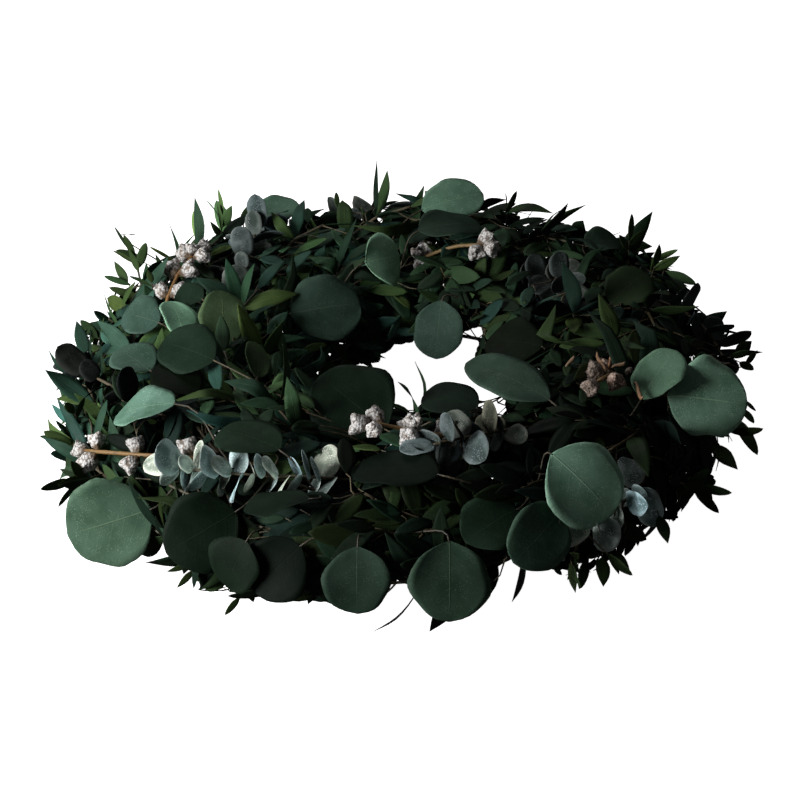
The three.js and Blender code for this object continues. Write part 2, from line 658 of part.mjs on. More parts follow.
const narrowLeaves = [
  [-20, 111, 10, 71, 32, 5, 44, 14], [-22, 87, 8, 114, 18, -8, 52, 14], [-14, 88, 10, 102, 29, 3, 48, 14],
  [-16, 72, 6, 114, 16, -27, 34, 20], [-121, 101, 8, 131, 19, -22, 36, 13],
  [-138, 101, 6, 151, 1, -36, 40, 12], [180, 161, 10, 86, 26, -28, 28, 9],
  [133, 119, 10, 86, 36, 19, 34, 10], [47, 125, 7, -11, 2, 24, 20, 12], [116, 121, 5, 154, 13, -27, 34, 12],
  [104, 124, 5, 157, 38, -19, 34, 12], [93, 106, 6, 171, 17, -26, 40, 13], [83, 75, 8, 168, 22, -55, 28, 9],
  [-128, 31, 8, 156, -8, 30, 50, 11], [-82, 55, 6, 143, -10, 7, 46, 13], [-135, 75, 6, 150, 11, -10, 34, 13],
  [-141, 81, 5, 156, -3, -7, 44, 12], [-159, 17, 8, 147, 10, -5, 38, 10], [-164, 30, 8, 125, 25, 5, 30, 10],
  [-171, 100, 8, 158, 17, -23, 34, 9], [119, 80, 6, 127, 33, -34, 28, 10], [23, 82, 6, 22, 24, 38, 24, 10],
]

// Stems of one clamp lie side by side, the outermost lean in the outermost slot.
const leanAtClamp = ({ row }) => row[4]?.from ?? row[1]

function slotsByClamp(planned) {
  for (const clamp of new Set(planned.map(({ row }) => row[0]))) {
    const bundle = planned.filter(({ row }) => row[0] === clamp)
    bundle.sort((one, other) => leanAtClamp(one) - leanAtClamp(other))
    bundle.forEach((stem, k) => {
      stem.slot = ((bundle.length - 1) / 2 - k) * SLOT_PITCH
    })
  }
}

// A kind of spray: the length of stem without leaves, how far apart its nodes are, and its thickness.
const roundKind = { name: 'round_leaf_spray', rows: roundSprays, bare: 0.42, spacing: 32 }
const blueKind = { name: 'blue_leaf_spray', rows: blueSprays, bare: 0.5, spacing: 21 }
const twigKind = { name: 'gumnut_twig', rows: gumnutTwigs, bare: 0.6, spacing: 20 }
const narrowKind = { name: 'narrow_leaf_spray', rows: narrowSprays, bare: 0.34, spacing: 31 }
Object.assign(roundKind, { side: STEM_SIDE, paint: roundGreen })
Object.assign(blueKind, { side: STEM_SIDE, paint: blueGreen })
Object.assign(twigKind, { side: TWIG_SIDE, paint: gumnutGrey })
Object.assign(narrowKind, { side: STEM_SIDE, paint: narrowGreen })
const kinds = [roundKind, blueKind, twigKind, narrowKind]

const planned = kinds.flatMap((kind) => kind.rows.map((row, k) => ({ kind, row, number: k + 1 })))
slotsByClamp(planned)
const sprays = planned.map((plan) => new Spray(plan))
sprays.forEach((spray) => spray.claimStem())
const spraysOf = (kind) => sprays.filter((spray) => spray.kind === kind)

// Fills a spray's free facets from the tip down. `chance` is the share of each side's facets used.
function leaf(spray, habit, random, chance) {
  const fromTip = [...spray.free].sort((one, other) => other.node - one.node)
  for (const open of fromTip) {
    if (random() < chance(open)) growByRule(spray, open, habit, random)
  }
}

// Each pair of blue leaves stands square to the pair before it.
function crossedPairs({ node, side }) {
  const level = side === 'left' || side === 'right'
  return side === 'end' || level === (node % 2 === 0) ? 1 : 0
}

const narrowChance = { end: 1, left: 1, right: 1, up: 0.5, down: 0.2 }
const roundChance = { end: 0.9, left: 0.35, right: 0.35, up: 0.3, down: 0 }
const narrowPlaces = ({ side }) => narrowChance[side]

// The further round leaves sit on the outer side of the wreath's back, below its shoulder.
function roundPlaces({ side, quad }) {
  const [{ x, y, z }] = quad
  const outerBack = y > BACK_LEAVES_FROM && Math.hypot(x, y) > RING_RADIUS && z < SHOULDER_HEIGHT
  return outerBack ? roundChance[side] : 0
}

roundLeaves.forEach((row) => growSeated(spraysOf(roundKind), row, roundCut))
narrowLeaves.forEach((row) => growSeated(spraysOf(narrowKind), row, narrowCut))
spraysOf(blueKind).forEach((spray, k) => leaf(spray, blueHabit, draws(300 + k), crossedPairs))
spraysOf(twigKind).forEach((spray, k) => {
  const random = draws(400 + k)
  const tops = spray.free.filter(({ side }) => side !== 'down')
  tops.forEach((open) => growPod(spray, open, random))
})
spraysOf(narrowKind).forEach((spray, k) => leaf(spray, narrowHabit, draws(500 + k), narrowPlaces))
spraysOf(roundKind).forEach((spray, k) => leaf(spray, roundHabit, draws(600 + k), roundPlaces))

for (const spray of sprays) {
  spray.close()
  group.add(meshOf(spray.name, spray.faces, spray.kind.paint))
}

// The origin is the bottom centre of the whole wreath's box.
const box = new THREE.Box3().setFromObject(group)
group.position.set(-(box.min.x + box.max.x) / 2, -(box.min.y + box.max.y) / 2, -box.min.z)

export default group
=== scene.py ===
"""Looks of a fresh evergreen wreath of mixed eucalyptus, lying on its back on a pale floor.

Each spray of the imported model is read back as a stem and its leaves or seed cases, and is rebuilt
finer in the same places: rounded stems, thin curved blades, warty gumnuts. Fine side twigs with
more leaves fill the spaces between the sprays. Metres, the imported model's frame.
"""

import random
from collections import namedtuple
from itertools import product
from math import atan2, cos, exp, hypot, pi, radians, sin

import bmesh
import bpy
import numpy as np
from mathutils import Matrix, Vector
from mathutils.bvhtree import BVHTree


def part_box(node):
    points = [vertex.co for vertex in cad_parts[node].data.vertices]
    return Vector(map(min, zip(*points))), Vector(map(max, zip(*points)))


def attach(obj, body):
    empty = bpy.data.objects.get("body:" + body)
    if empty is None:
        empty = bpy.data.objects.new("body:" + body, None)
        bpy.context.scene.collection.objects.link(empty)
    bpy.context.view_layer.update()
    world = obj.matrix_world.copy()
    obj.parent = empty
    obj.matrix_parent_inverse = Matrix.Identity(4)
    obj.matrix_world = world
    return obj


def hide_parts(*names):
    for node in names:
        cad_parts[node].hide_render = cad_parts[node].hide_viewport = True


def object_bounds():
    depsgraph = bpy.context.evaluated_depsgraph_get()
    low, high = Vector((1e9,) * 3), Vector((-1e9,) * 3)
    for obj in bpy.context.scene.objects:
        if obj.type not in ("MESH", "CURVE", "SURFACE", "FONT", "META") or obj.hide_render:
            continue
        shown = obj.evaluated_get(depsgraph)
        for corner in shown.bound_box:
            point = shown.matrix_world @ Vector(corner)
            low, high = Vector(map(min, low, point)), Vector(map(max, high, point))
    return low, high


norm = np.linalg.norm
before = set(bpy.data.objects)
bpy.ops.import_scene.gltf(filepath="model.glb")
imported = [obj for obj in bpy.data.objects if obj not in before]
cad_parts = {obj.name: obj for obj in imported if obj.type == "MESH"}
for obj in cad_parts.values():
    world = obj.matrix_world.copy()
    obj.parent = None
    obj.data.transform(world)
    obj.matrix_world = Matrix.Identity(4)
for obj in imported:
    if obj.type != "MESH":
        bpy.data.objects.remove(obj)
CAD_BOX = [list(map(float, corner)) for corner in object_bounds()]

# ---- the ring and its section
MM = 0.001
RING_LOW, RING_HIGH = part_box("clamp_ring")
CENTRE = (RING_LOW + RING_HIGH) / 2
RING_RADIUS = 0.165
LEAF_REACH = 0.100
LEAF_RISE = 0.060
MIDDLE_HEIGHT = 0.046
HOLE_KEEP = 0.046
TABLE_KEEP = 0.0015
WELD = 1e-5

# ---- where the camera stands
CAMERA_RISE = radians(32)
CAMERA_ROLL = radians(3.5)
CAMERA_DISTANCE = 1.5
FRAME_PIXELS = 800
FOCAL_PIXELS = 1890
AIM_PIXEL = np.array((395, 389))
AIM = Vector((CENTRE.x, CENTRE.y, 0.04))
BACK = Vector((0, -cos(CAMERA_RISE), sin(CAMERA_RISE)))
LEVEL = Vector((1, 0, 0))
RISE = Vector((0, sin(CAMERA_RISE), cos(CAMERA_RISE)))
RIGHT = LEVEL * cos(CAMERA_ROLL) - RISE * sin(CAMERA_ROLL)
ABOVE = LEVEL * sin(CAMERA_ROLL) + RISE * cos(CAMERA_ROLL)
EYE = AIM + BACK * CAMERA_DISTANCE
TO_CAMERA = np.array(BACK)
# The outline, in the picture, of the floor seen through the wreath's hole.
HOLE_SEEN = [(385, 348), (420, 341), (450, 336), (484, 326), (472, 362), (506, 402), (498, 413),
             (474, 404), (452, 386), (430, 386), (416, 408), (396, 404)]
# The wreath's outer edge in the picture, loosely, for the leaves that fill between the sprays.
EDGE_SEEN = [(40, 440), (66, 350), (100, 300), (150, 250), (200, 222), (300, 204), (360, 198),
             (440, 184), (480, 187), (520, 204), (610, 232), (668, 256), (712, 312), (757, 350),
             (757, 436), (716, 488), (660, 536), (622, 575), (578, 586), (545, 566), (502, 558),
             (486, 606), (425, 612), (402, 578), (386, 588), (350, 608), (300, 602), (240, 606),
             (180, 586), (160, 536), (112, 556), (66, 520), (44, 484)]


def pixels(points):
    """Where points fall in the picture."""
    arms = np.asarray(points) - np.array(EYE)
    far = -(arms @ TO_CAMERA)
    across = FOCAL_PIXELS * (arms @ np.array(RIGHT)) / far
    down = -FOCAL_PIXELS * (arms @ np.array(ABOVE)) / far
    return np.stack([AIM_PIXEL[0] + across, AIM_PIXEL[1] + down], axis=-1)


def inside(spots, outline):
    """True for each spot that lies inside a closed outline."""
    hits = np.zeros(len(spots), bool)
    for (ax, ay), (bx, by) in zip(outline, outline[1:] + outline[:1]):
        if ay == by:
            continue
        level = (spots[:, 1] > ay) != (spots[:, 1] > by)
        hits ^= level & (spots[:, 0] < ax + (spots[:, 1] - ay) * (bx - ax) / (by - ay))
    return hits


def unit(v):
    return v / max(norm(v), 1e-12)


def run_of(points):
    """How far along a line each of its points lies."""
    return np.concatenate([[0], np.cumsum(norm(np.diff(points, axis=0), axis=1))])


def resample(want, run, rows):
    """Rows that are known at the places `run`, at the places wanted."""
    rows = np.asarray(rows)
    return np.column_stack([np.interp(want, run, rows[:, k]) for k in range(3)])


def look_at(pixel):
    """The way the camera looks through one pixel, for one metre of depth."""
    across = (pixel[0] - AIM_PIXEL[0]) / FOCAL_PIXELS
    down = (pixel[1] - AIM_PIXEL[1]) / FOCAL_PIXELS
    return np.array(RIGHT * across - ABOVE * down - BACK)


def place(clock, lean, depth=1.0):
    """A point by its angle round the wreath, angle round the section, and share of the way out."""
    radius = RING_RADIUS + LEAF_REACH * depth * cos(lean)
    height = MIDDLE_HEIGHT + LEAF_RISE * depth * sin(lean)
    return np.array([CENTRE.x + radius * cos(clock), CENTRE.y + radius * sin(clock), height])


def place_degrees(clock, lean, depth):
    return place(radians(clock), radians(lean), depth)


def from_axis(point):
    """How far a point is from the upright line through the wreath's middle."""
    return hypot(point[0] - CENTRE.x, point[1] - CENTRE.y)


def around(point):
    """Clock, lean and depth of a point."""
    clock = atan2(point[1] - CENTRE.y, point[0] - CENTRE.x)
    across = (from_axis(point) - RING_RADIUS) / LEAF_REACH
    rise = (point[2] - MIDDLE_HEIGHT) / LEAF_RISE
    return clock, atan2(rise, across), hypot(across, rise)


LOOK_NEAR, LOOK_FAR, LOOK_STEP = 1.1, 1.9, 0.004
LOOK_LOW = 4 * MM


def spot_seen(pixel, depth=0.0):
    """The first spot on a look that is within `depth`, or else the one least far out."""
    eye, way = np.array(EYE), look_at(pixel)
    spots = [eye + way * far for far in np.arange(LOOK_NEAR, LOOK_FAR, LOOK_STEP)]
    spots = [spot for spot in spots if spot[2] > LOOK_LOW]
    depths = [around(spot)[2] for spot in spots]
    near = [spot for spot, found in zip(spots, depths) if found <= depth]
    return near[0] if near else spots[int(np.argmin(depths))]


def outward(point):
    clock, lean, _ = around(point)
    across, rise = cos(lean) / LEAF_REACH, sin(lean) / LEAF_RISE
    return unit(np.array([across * cos(clock), across * sin(clock), rise]))


def clockwise(point):
    clock = around(point)[0]
    return np.array([sin(clock), -cos(clock), 0.0])


# ---- reading the sprays back
# Outline of a leaf: half width at shares of its length.
ROUND_OUTLINE = ([0, .04, .1, .2, .32, .45, .58, .7, .8, .88, .94, .98, 1],
                 [0, .26, .52, .78, .94, 1, .98, .9, .77, .61, .44, .24, 0])
OVAL_OUTLINE = ([0, .06, .15, .3, .45, .6, .75, .86, .94, .985, 1],
                [0, .3, .62, .9, 1, .96, .8, .59, .36, .14, 0])
LANCE_OUTLINE = ([0, .08, .18, .3, .45, .6, .75, .88, .96, 1],
                 [0, .34, .7, .93, 1, .88, .64, .34, .12, 0])
BLUE_OUTLINE = ([0, .05, .14, .3, .48, .66, .8, .9, .96, 1],
                [.1, .5, .82, .98, 1, .97, .84, .6, .36, 0])
# Each kind of spray: how many sections a packed blade has after its tip's own, which of them is
# the widest, the rebuilt blade's grid and outline, the slot, and how the pieces are named.
Kind = namedtuple("Kind", "rings widest grid outline slot piece")
ROUND, BLUE, NARROW, GUMNUT = "round_leaf_spray", "blue_leaf_spray", "narrow_leaf_spray", "gumnut_twig"
KINDS = {
    ROUND: Kind(5, 3, (18, 11), ROUND_OUTLINE, "round_leaf", "round_leaves"),
    BLUE: Kind(2, 1, (12, 7), BLUE_OUTLINE, "blue_leaf", "blue_leaves"),
    NARROW: Kind(2, 2, (11, 5), LANCE_OUTLINE, "narrow_leaf", "narrow_leaves"),
    GUMNUT: Kind(0, None, None, None, "gumnut", "gumnuts"),
}


def kind_of(node):
    return node.rsplit("_", 1)[0]


def read_spray(node, rings):
    """Stem stations, blades (sections from the stem out, then the point) and pods of one CAD node."""
    bm = bmesh.new()
    bm.from_mesh(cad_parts[node].data)
    bmesh.ops.remove_doubles(bm, verts=bm.verts, dist=WELD)
    points = [np.array(v.co) for v in bm.verts]
    near = [{e.other_vert(v).index for e in v.link_edges} for v in bm.verts]
    valence = [len(n) for n in near]
    bm.free()
    used, blades, pods = set(), [], []
    for tip, count in enumerate(valence):
        if count != 4 or not rings:
            continue
        edges = [i for i in near[tip] if valence[i] == 4]
        ribs = [i for i in near[tip] if valence[i] == 6]
        if len(edges) != 2 or len(ribs) != 2:
            continue
        middle = (points[edges[0]] + points[edges[1]]) / 2
        ribs.sort(key=lambda i: norm(points[i] - middle))
        loop = [edges[0], ribs[0], edges[1], ribs[1]]
        outer, sections = {tip}, [loop]
        for _ in range(rings):
            here = set(loop)
            left = (near[loop[0]] - here - outer).pop()
            right = (near[loop[2]] - here - outer).pop()
            found = {left, right}
            top = (near[loop[1]] - here - outer - found).pop()
            bottom = (near[loop[3]] - here - outer - found).pop()
            outer = here
            loop = [left, top, right, bottom]
            sections.append(loop)
        used.update(i for loop in sections[:-1] for i in loop)
        used.add(tip)
        sections = [np.array([points[i] for i in loop]) for loop in reversed(sections)]
        blades.append({"sections": sections, "tip": points[tip]})
    for top, count in enumerate(valence):
        if count != 8 or not all(valence[i] == 5 for i in near[top]):
            continue
        rim = near[top]
        belly = set().union(*(near[i] for i in rim)) - rim - {top}
        base = set().union(*(near[i] for i in belly)) - belly - rim
        if len(rim) != 8 or len(belly) != 8 or len(base) != 4:
            continue
        used.update(rim, belly, {top})
        spots = [np.mean([points[i] for i in part], axis=0) for part in (base, belly, rim)]
        radius = np.mean([norm(points[i] - spots[1]) for i in belly])
        pods.append({"base": spots[0], "top": points[top], "radius": radius})
    return {"stem": read_stem(points, near, valence, used), "blades": blades, "pods": pods}


def read_stem(points, near, valence, used):
    """Middle points and half widths of the stem, from its cut end to its last section."""
    stem = set(range(len(points))) - used
    root = next(
        i for i in sorted(stem)
        if valence[i] == 4 and near[i] <= stem
        and norm(np.mean([points[j] for j in near[i]], axis=0) - points[i]) < 2e-5
    )
    loop, behind = set(near[root]), {root}
    stations = []
    while loop:
        corners = np.array([points[i] for i in loop])
        middle = corners.mean(axis=0)
        stations.append((middle, norm(corners - middle, axis=1).mean() / 2 ** 0.5))
        ahead = set().union(*(near[i] for i in loop)) & stem
        loop, behind = ahead - loop - behind, loop
    return stations


sprays = {name: read_spray(name, KINDS[kind_of(name)].rings)
          for name in sorted(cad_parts) if kind_of(name) in KINDS}


# ---- mesh building
class Sheets:
    """Faces gathered for one piece, with a place along and across each leaf and its own tones, painted
    shade included.
    """

    def __init__(self):
        self.points, self.faces, self.along, self.tone, self.slots = [], [], [], [], []
        self.count = 0

    def add(self, points, faces, along, tone, slots=0, rims=None):
        points = np.asarray(points, float).reshape(-1, 3)
        self.points.append(points)
        for face in faces:
            self.faces.append([i + self.count for i in face])
        self.along.append(np.asarray(along, float).reshape(-1, 2))
        rims = np.zeros(len(points)) if rims is None else rims
        self.tone.append(np.column_stack([np.tile(np.asarray(tone, float), (len(points), 1)), rims]))
        self.slots.extend([slots] * len(faces) if isinstance(slots, int) else slots)
        self.count += len(points)

    def build(self, name, materials):
        mesh = bpy.data.meshes.new(name)
        mesh.from_pydata(np.concatenate(self.points).tolist(), [], self.faces)
        for material in materials:
            mesh.materials.append(material)
        mesh.polygons.foreach_set("material_index", [min(slot, UNDER_SLOT) for slot in self.slots])
        mesh.polygons.foreach_set("use_smooth", [slot != RIM_SLOT for slot in self.slots])
        corners = np.empty(len(mesh.loops), np.int32)
        mesh.loops.foreach_get("vertex_index", corners)
        layer = mesh.uv_layers.new(name="UVMap")
        layer.data.foreach_set("uv", np.concatenate(self.along)[corners].astype(np.float32).ravel())
        attribute = mesh.color_attributes.new("tone", "FLOAT_COLOR", "POINT")
        attribute.data.foreach_set("color", np.concatenate(self.tone).ravel())
        mesh.update()
        piece = bpy.data.objects.new(name, mesh)
        bpy.context.scene.collection.objects.link(piece)
        return piece


def smooth_line(knots, count):
    """Points spread along a Catmull-Rom line through the knots, with their share of its length."""
    knots = np.asarray(knots, float)
    ends = [2 * knots[0] - knots[1], *knots, 2 * knots[-1] - knots[-2]]
    line = []
    for i in range(1, len(ends) - 2):
        a, b, c, d = ends[i - 1:i + 3]
        for t in np.arange(0, 1, 0.125):
            line.append(0.5 * (2 * b + (c - a) * t + (2 * a - 5 * b + 4 * c - d) * t * t
                               + (3 * b - a - 3 * c + d) * t ** 3))
    line.append(knots[-1])
    run = run_of(line)
    return resample(np.linspace(0, run[-1], count), run, line), run[-1]


def barrel_faces(rows, sides):
    """Faces round `rows` rings of points, closed by the two end points that follow them."""
    faces = []
    for i in range(rows - 1):
        for k in range(sides):
            m = (k + 1) % sides
            faces.append((i * sides + k, i * sides + m, (i + 1) * sides + m, (i + 1) * sides + k))
    first, last = rows * sides, (rows - 1) * sides
    for k in range(sides):
        m = (k + 1) % sides
        faces.append((first, m, k))
        faces.append((first + 1, last + k, last + m))
    return faces


def tube(sheets, middles, radii, sides, tone):
    """A closed round stem; its uv runs along in centimetres and once round."""
    middles = np.asarray(middles, float)
    ways = np.gradient(middles, axis=0)
    ways /= np.maximum(norm(ways, axis=1), 1e-12)[:, None]
    up = np.array([0.0, 0, 1])
    points, along, run = [], [], 0.0
    for i, (middle, way, radius) in enumerate(zip(middles, ways, radii)):
        up = unit(up - way * np.dot(up, way))
        left = np.cross(up, way)
        if i:
            run += norm(middle - middles[i - 1])
        for k in range(sides):
            turn = 2 * pi * k / sides
            points.append(middle + radius * (cos(turn) * up + sin(turn) * left))
            along.append((run * 100, k / sides))
    points += [middles[0] - ways[0] * radii[0] * 0.2, middles[-1] + ways[-1] * radii[-1] * 0.6]
    along += [(0, 0.5), (run * 100, 0.5)]
    sheets.add(points, barrel_faces(len(middles), sides), along, tone, STEM_SLOT)


def taper(sheets, path, thick, thin, sides, tone):
    """A fine stem that runs from one radius to another, both in millimetres."""
    tube(sheets, path, np.linspace(thick, thin, len(path)) * MM, sides, tone)


LAP = 6.28
BLADE_THICKNESS = 0.35 * MM
FOLD = 0.07
LEAF_SLOT, STEM_SLOT, UNDER_SLOT, RIM_SLOT = 0, 1, 2, 3
grids = {}


def grid_faces(rows, columns):
    """Faces of a closed thin blade: upper side, lower side and the strip round its edge."""
    if (rows, columns) not in grids:
        size = rows * columns
        upper, lower = [], []
        for i in range(rows - 1):
            for j in range(columns - 1):
                a = i * columns + j
                upper.append((a, a + 1, a + 1 + columns, a + columns))
                lower.append((a + size, a + columns + size, a + 1 + columns + size, a + 1 + size))
        edge = [*range(columns), *(i * columns + columns - 1 for i in range(1, rows)),
                *range(size - 2, size - columns - 1, -1), *(i * columns for i in range(rows - 2, 0, -1))]
        rim = [(b, a, a + size, b + size) for a, b in zip(edge, edge[1:] + edge[:1])]
        slots = [LEAF_SLOT] * len(upper) + [UNDER_SLOT] * len(lower) + [RIM_SLOT] * len(rim)
        grids[rows, columns] = (upper + lower + rim, slots)
    return grids[rows, columns]


def blade(sheets, line, sides, normals, half, outline, shape, tone, wave=0.04, ragged=0.03):
    """A thin closed leaf along `line` (stalk end to point), `half` wide each way at its widest."""
    rows, columns = shape
    shares = np.linspace(0, 1, rows)
    shares = 0.5 * (shares + (1 - np.cos(pi * shares)) / 2)
    spots = np.linspace(0, 1, len(line))
    middle, side, normal = [resample(shares, spots, known) for known in (line, sides, normals)]
    side /= norm(side, axis=1)[:, None]
    normal /= norm(normal, axis=1)[:, None]
    x = np.linspace(-1, 1, columns)[None, :]
    phase, beat, turn = uniform(0, LAP), uniform(3.5, 7), uniform(0, LAP)
    width = np.maximum(np.interp(shares, outline[0], outline[1]), 0.03)[:, None]
    sway = beat * shares[:, None] + turn + 2.1 * np.sign(x)
    width = width * (1 + ragged * (np.sin(sway) + 0.5 * np.sin(2.7 * sway + phase)))
    width *= half
    skew = uniform(-0.06, 0.06)
    reach = width * (x + skew * (1 - x * x))
    ripple = np.sin(beat * shares[:, None] + phase + 1.7 * (x > 0)) * wave * half * np.abs(x) ** 2.5
    lift = FOLD * width * np.abs(x) ** 1.5 + ripple * width / half
    points = middle[:, None] + side[:, None] * reach[..., None] + normal[:, None] * lift[..., None]
    thick = BLADE_THICKNESS * (0.5 + 0.9 * np.exp(-(x / 0.12) ** 2)) * np.where(np.abs(x) == 1, 0.4, 1)
    step = normal[:, None] * (np.repeat(thick, rows, axis=0) / 2)[..., None]
    along = np.stack([np.repeat(shares[:, None], columns, axis=1), 0.5 + 0.5 * reach / half], axis=-1)
    along = along.reshape(-1, 2)
    faces, slots = grid_faces(rows, columns)
    both = np.concatenate([(points + step).reshape(-1, 3), (points - step).reshape(-1, 3)])
    rims = np.tile(np.repeat(np.abs(x), rows, axis=0).ravel(), 2)
    sheets.add(both, faces, np.concatenate([along, along]), tone, slots, rims)


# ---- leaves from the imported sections
# Every leaf's middle line has this many points from stalk end to tip.
STATIONS = 20
HALFWAY = 10
SHARES = np.linspace(0, 1, STATIONS)[:, None]
# A packed narrow blade's widest section is this share of the real leaf's width.
NARROW_FULLNESS = 0.92


def everywhere(direction):
    """One direction for every station of a leaf."""
    return np.repeat([direction], STATIONS, axis=0)


def seat(kind, found):
    """Where a packed blade lies: its line, side and normal directions, and half width."""
    sections = found["sections"]
    ribs = [(s[1] + s[3]) / 2 for s in sections]
    ribs[0] = sections[0].mean(axis=0)
    knots = np.array(ribs + [found["tip"]])
    sides = [unit(s[2] - s[0]) for s in sections]
    normals = [unit(s[1] - s[3]) for s in sections]
    sides[0], normals[0] = sides[1], normals[1]
    sides.append(sides[-1])
    normals.append(normals[-1])
    widest = sections[KINDS[kind].widest]
    half = norm(widest[2] - widest[0]) / 2
    if kind == NARROW:
        half /= NARROW_FULLNESS
    stalk = None
    if kind == ROUND:
        stalk = knots[:2]
        knots, sides, normals = knots[1:], sides[1:], normals[1:]
    run = run_of(knots)
    line, length = smooth_line(knots, STATIONS)
    want = np.linspace(0, run[-1], STATIONS)
    return {"line": line, "sides": resample(want, run, sides), "normals": resample(want, run, normals),
            "half": half, "length": length, "stalk": stalk, "middle": line[HALFWAY]}


def bend(start, end, leave, arrive, count=7):
    """Points of a stalk that leaves one way and arrives another."""
    reach = norm(end - start) * 0.4
    one, two = start + leave * reach, end - arrive * reach
    t = np.linspace(0, 1, count)[:, None]
    return (1 - t) ** 3 * start + 3 * (1 - t) ** 2 * t * one + 3 * (1 - t) * t * t * two + t ** 3 * end


draw = random.Random(11)
uniform = draw.uniform


def shaken(value, step):
    """A value moved by chance, by up to half a step each way."""
    return value + uniform(-0.5, 0.5) * step


def hue(base, spread=0.22, shift=0.08):
    """One leaf's own tone: the kind's colour, lighter or darker, warmer or cooler."""
    level = exp(draw.gauss(0, spread))
    warm = draw.gauss(0, shift)
    return [base[0] * level * (1 + warm), base[1] * level, base[2] * level * (1 - warm)]


ROUND_TONE = (0.049, 0.094, 0.062)
BLUE_TONE = (0.105, 0.140, 0.130)
STEM_TONE = (0.040, 0.032, 0.014)
TWIG_TONE = (0.150, 0.085, 0.026)
NARROW_TONES = [(0.024, 0.056, 0.026), (0.042, 0.078, 0.026), (0.022, 0.054, 0.038),
                (0.014, 0.030, 0.017)]

# The round leaves that can be told apart, by clock and lean, and how light each one is.
# Their lightness is painted light and shade as well as their own tone: lit leaves lighter, shaded ones
# darker.
PITCH, NIGHT, BLACK, DARK, DUSK, DIM = 0.045, 0.09, 0.17, 0.3, 0.5, 0.75
# The two lightest are frosted leaves, painted lighter still as if in full light.
PLAIN, PALE, BRIGHT, FROSTED_AND_LIT, SILVERY_AND_LIT = 1.0, 1.4, 1.9, 2.7, 4.5
OLIVE, TEAL, GREEN = (1.2, 1.0, 0.7), (1.02, 1.0, 1.1), (1.0, 1.0, 1.0)
ROUND_LEAVES = [
    (-140, 5, PLAIN, GREEN), (-122, 23, NIGHT, GREEN), (-109, 13, PITCH, GREEN),
    (-115, 12, NIGHT, GREEN), (-97, 10, DARK, GREEN), (-84, 7, DUSK, GREEN), (-76, 33, BLACK, GREEN),
    (-70, 21, DIM, GREEN), (-60, 38, FROSTED_AND_LIT, TEAL), (-26, 33, FROSTED_AND_LIT, TEAL), (-28, 59, PALE, GREEN),
    (71, 82, PALE, GREEN), (68, 102, DARK, GREEN), (92, 126, SILVERY_AND_LIT, GREEN), (132, 146, DUSK, TEAL),
    (53, 166, DUSK, TEAL), (176, 109, PLAIN, OLIVE), (178, 90, SILVERY_AND_LIT, GREEN), (175, 73, DIM, TEAL),
    (-167, 70, DIM, TEAL), (-162, 92, BLACK, GREEN), (-157, 84, PITCH, OLIVE), (-148, 62, BRIGHT, TEAL),
    (-107, 124, NIGHT, GREEN), (-123, 75, BLACK, GREEN), (-71, 115, NIGHT, GREEN),
    (-52, 108, DUSK, TEAL), (-20, 130, PITCH, OLIVE), (-91, 67, PITCH, GREEN), (-110, 43, NIGHT, GREEN),
    (114, 48, PALE, GREEN), (167, 92, BLACK, GREEN), (-157, 121, DIM, OLIVE), (33, 61, DARK, GREEN),
    (7, 76, BLACK, OLIVE),
]
# The blue-grey leaves, by where they lie: how light they are there, as painted light and shade.
BLUE_LIGHT_AND_SHADE = [(-133, 49, 2.7), (-120, 59, 3.1), (-110, 64, 2.8), (-99, 64, 0.9), (-174, 41, 0.1),
               (-157, 69, 0.14), (131, 83, 0.6), (-57, 16, 2.2), (-45, 25, 2.0), (-67, 80, 0.55),
               (-9, 35, 0.1), (10, 60, 0.3), (60, 90, 0.5), (30, 80, 0.35)]
TOLD_APART = 24 * MM
# Leaves painted darker than this, as painted shade, are a deeper green as well.
DEEP_SHADE_LEVEL = 0.2
DEEP_SHADE_TINT = (0.87, 1.06, 0.90)
HERO_DEPTH = 1.08


def nearest_row(middle, rows):
    """The row of a table by clock and lean that lies nearest, and how far off it is."""
    apart = [norm(middle - place_degrees(row[0], row[1], HERO_DEPTH)) for row in rows]
    best = int(np.argmin(apart))
    return rows[best], apart[best]


def round_tone(middle):
    """The tone of a round leaf from the table, with its painted light and shade, or a plain one at 0.4 for
    the others.
    """
    (_, _, level, tint), apart = nearest_row(middle, ROUND_LEAVES)
    if apart > TOLD_APART:
        return hue([0.4 * c for c in ROUND_TONE])
    if level < DEEP_SHADE_LEVEL:
        tint = [t * deep for t, deep in zip(tint, DEEP_SHADE_TINT)]
    return hue([c * level * t for c, t in zip(ROUND_TONE, tint)], 0.04, 0.02)


def blue_tone(middle):
    # The level from the table is painted light or shade for this place.
    level = nearest_row(middle, BLUE_LIGHT_AND_SHADE)[0][2]
    return hue([c * level for c in BLUE_TONE], 0.15)


# Painted shade in front of the wreath: how dark, and below which lean.
FRONT_PAINTED_SHADE = 0.34
FRONT_LEAN = radians(75)


def painted_shade_at(point):
    """Painted light and shade: leaves are lighter towards the wreath's left end and dark in front and on
    the right.
    """
    clock, lean, _ = around(point)
    front = FRONT_PAINTED_SHADE if sin(clock) < -0.5 and lean < FRONT_LEAN else 1
    return front * float(np.clip(0.6 - 2.4 * (point[0] - CENTRE.x), 0.38, 1.25))


solid_points, solid_faces, thin_points = [], [], []
shown_points, shown_faces = [], []
middles_of_leaves = []
# Strips that stand in for leaves: at which stations, and how wide there, for the tests of room
# (full) and of what shows through (thin).
PICKS = (0, 5, 10, 15, 19)
FULL = (0.25, 0.95, 0.95, 0.95, 0.25)
THIN = np.array((0.1, 0.68, 0.78, 0.5, 0.05)) / np.array(FULL)


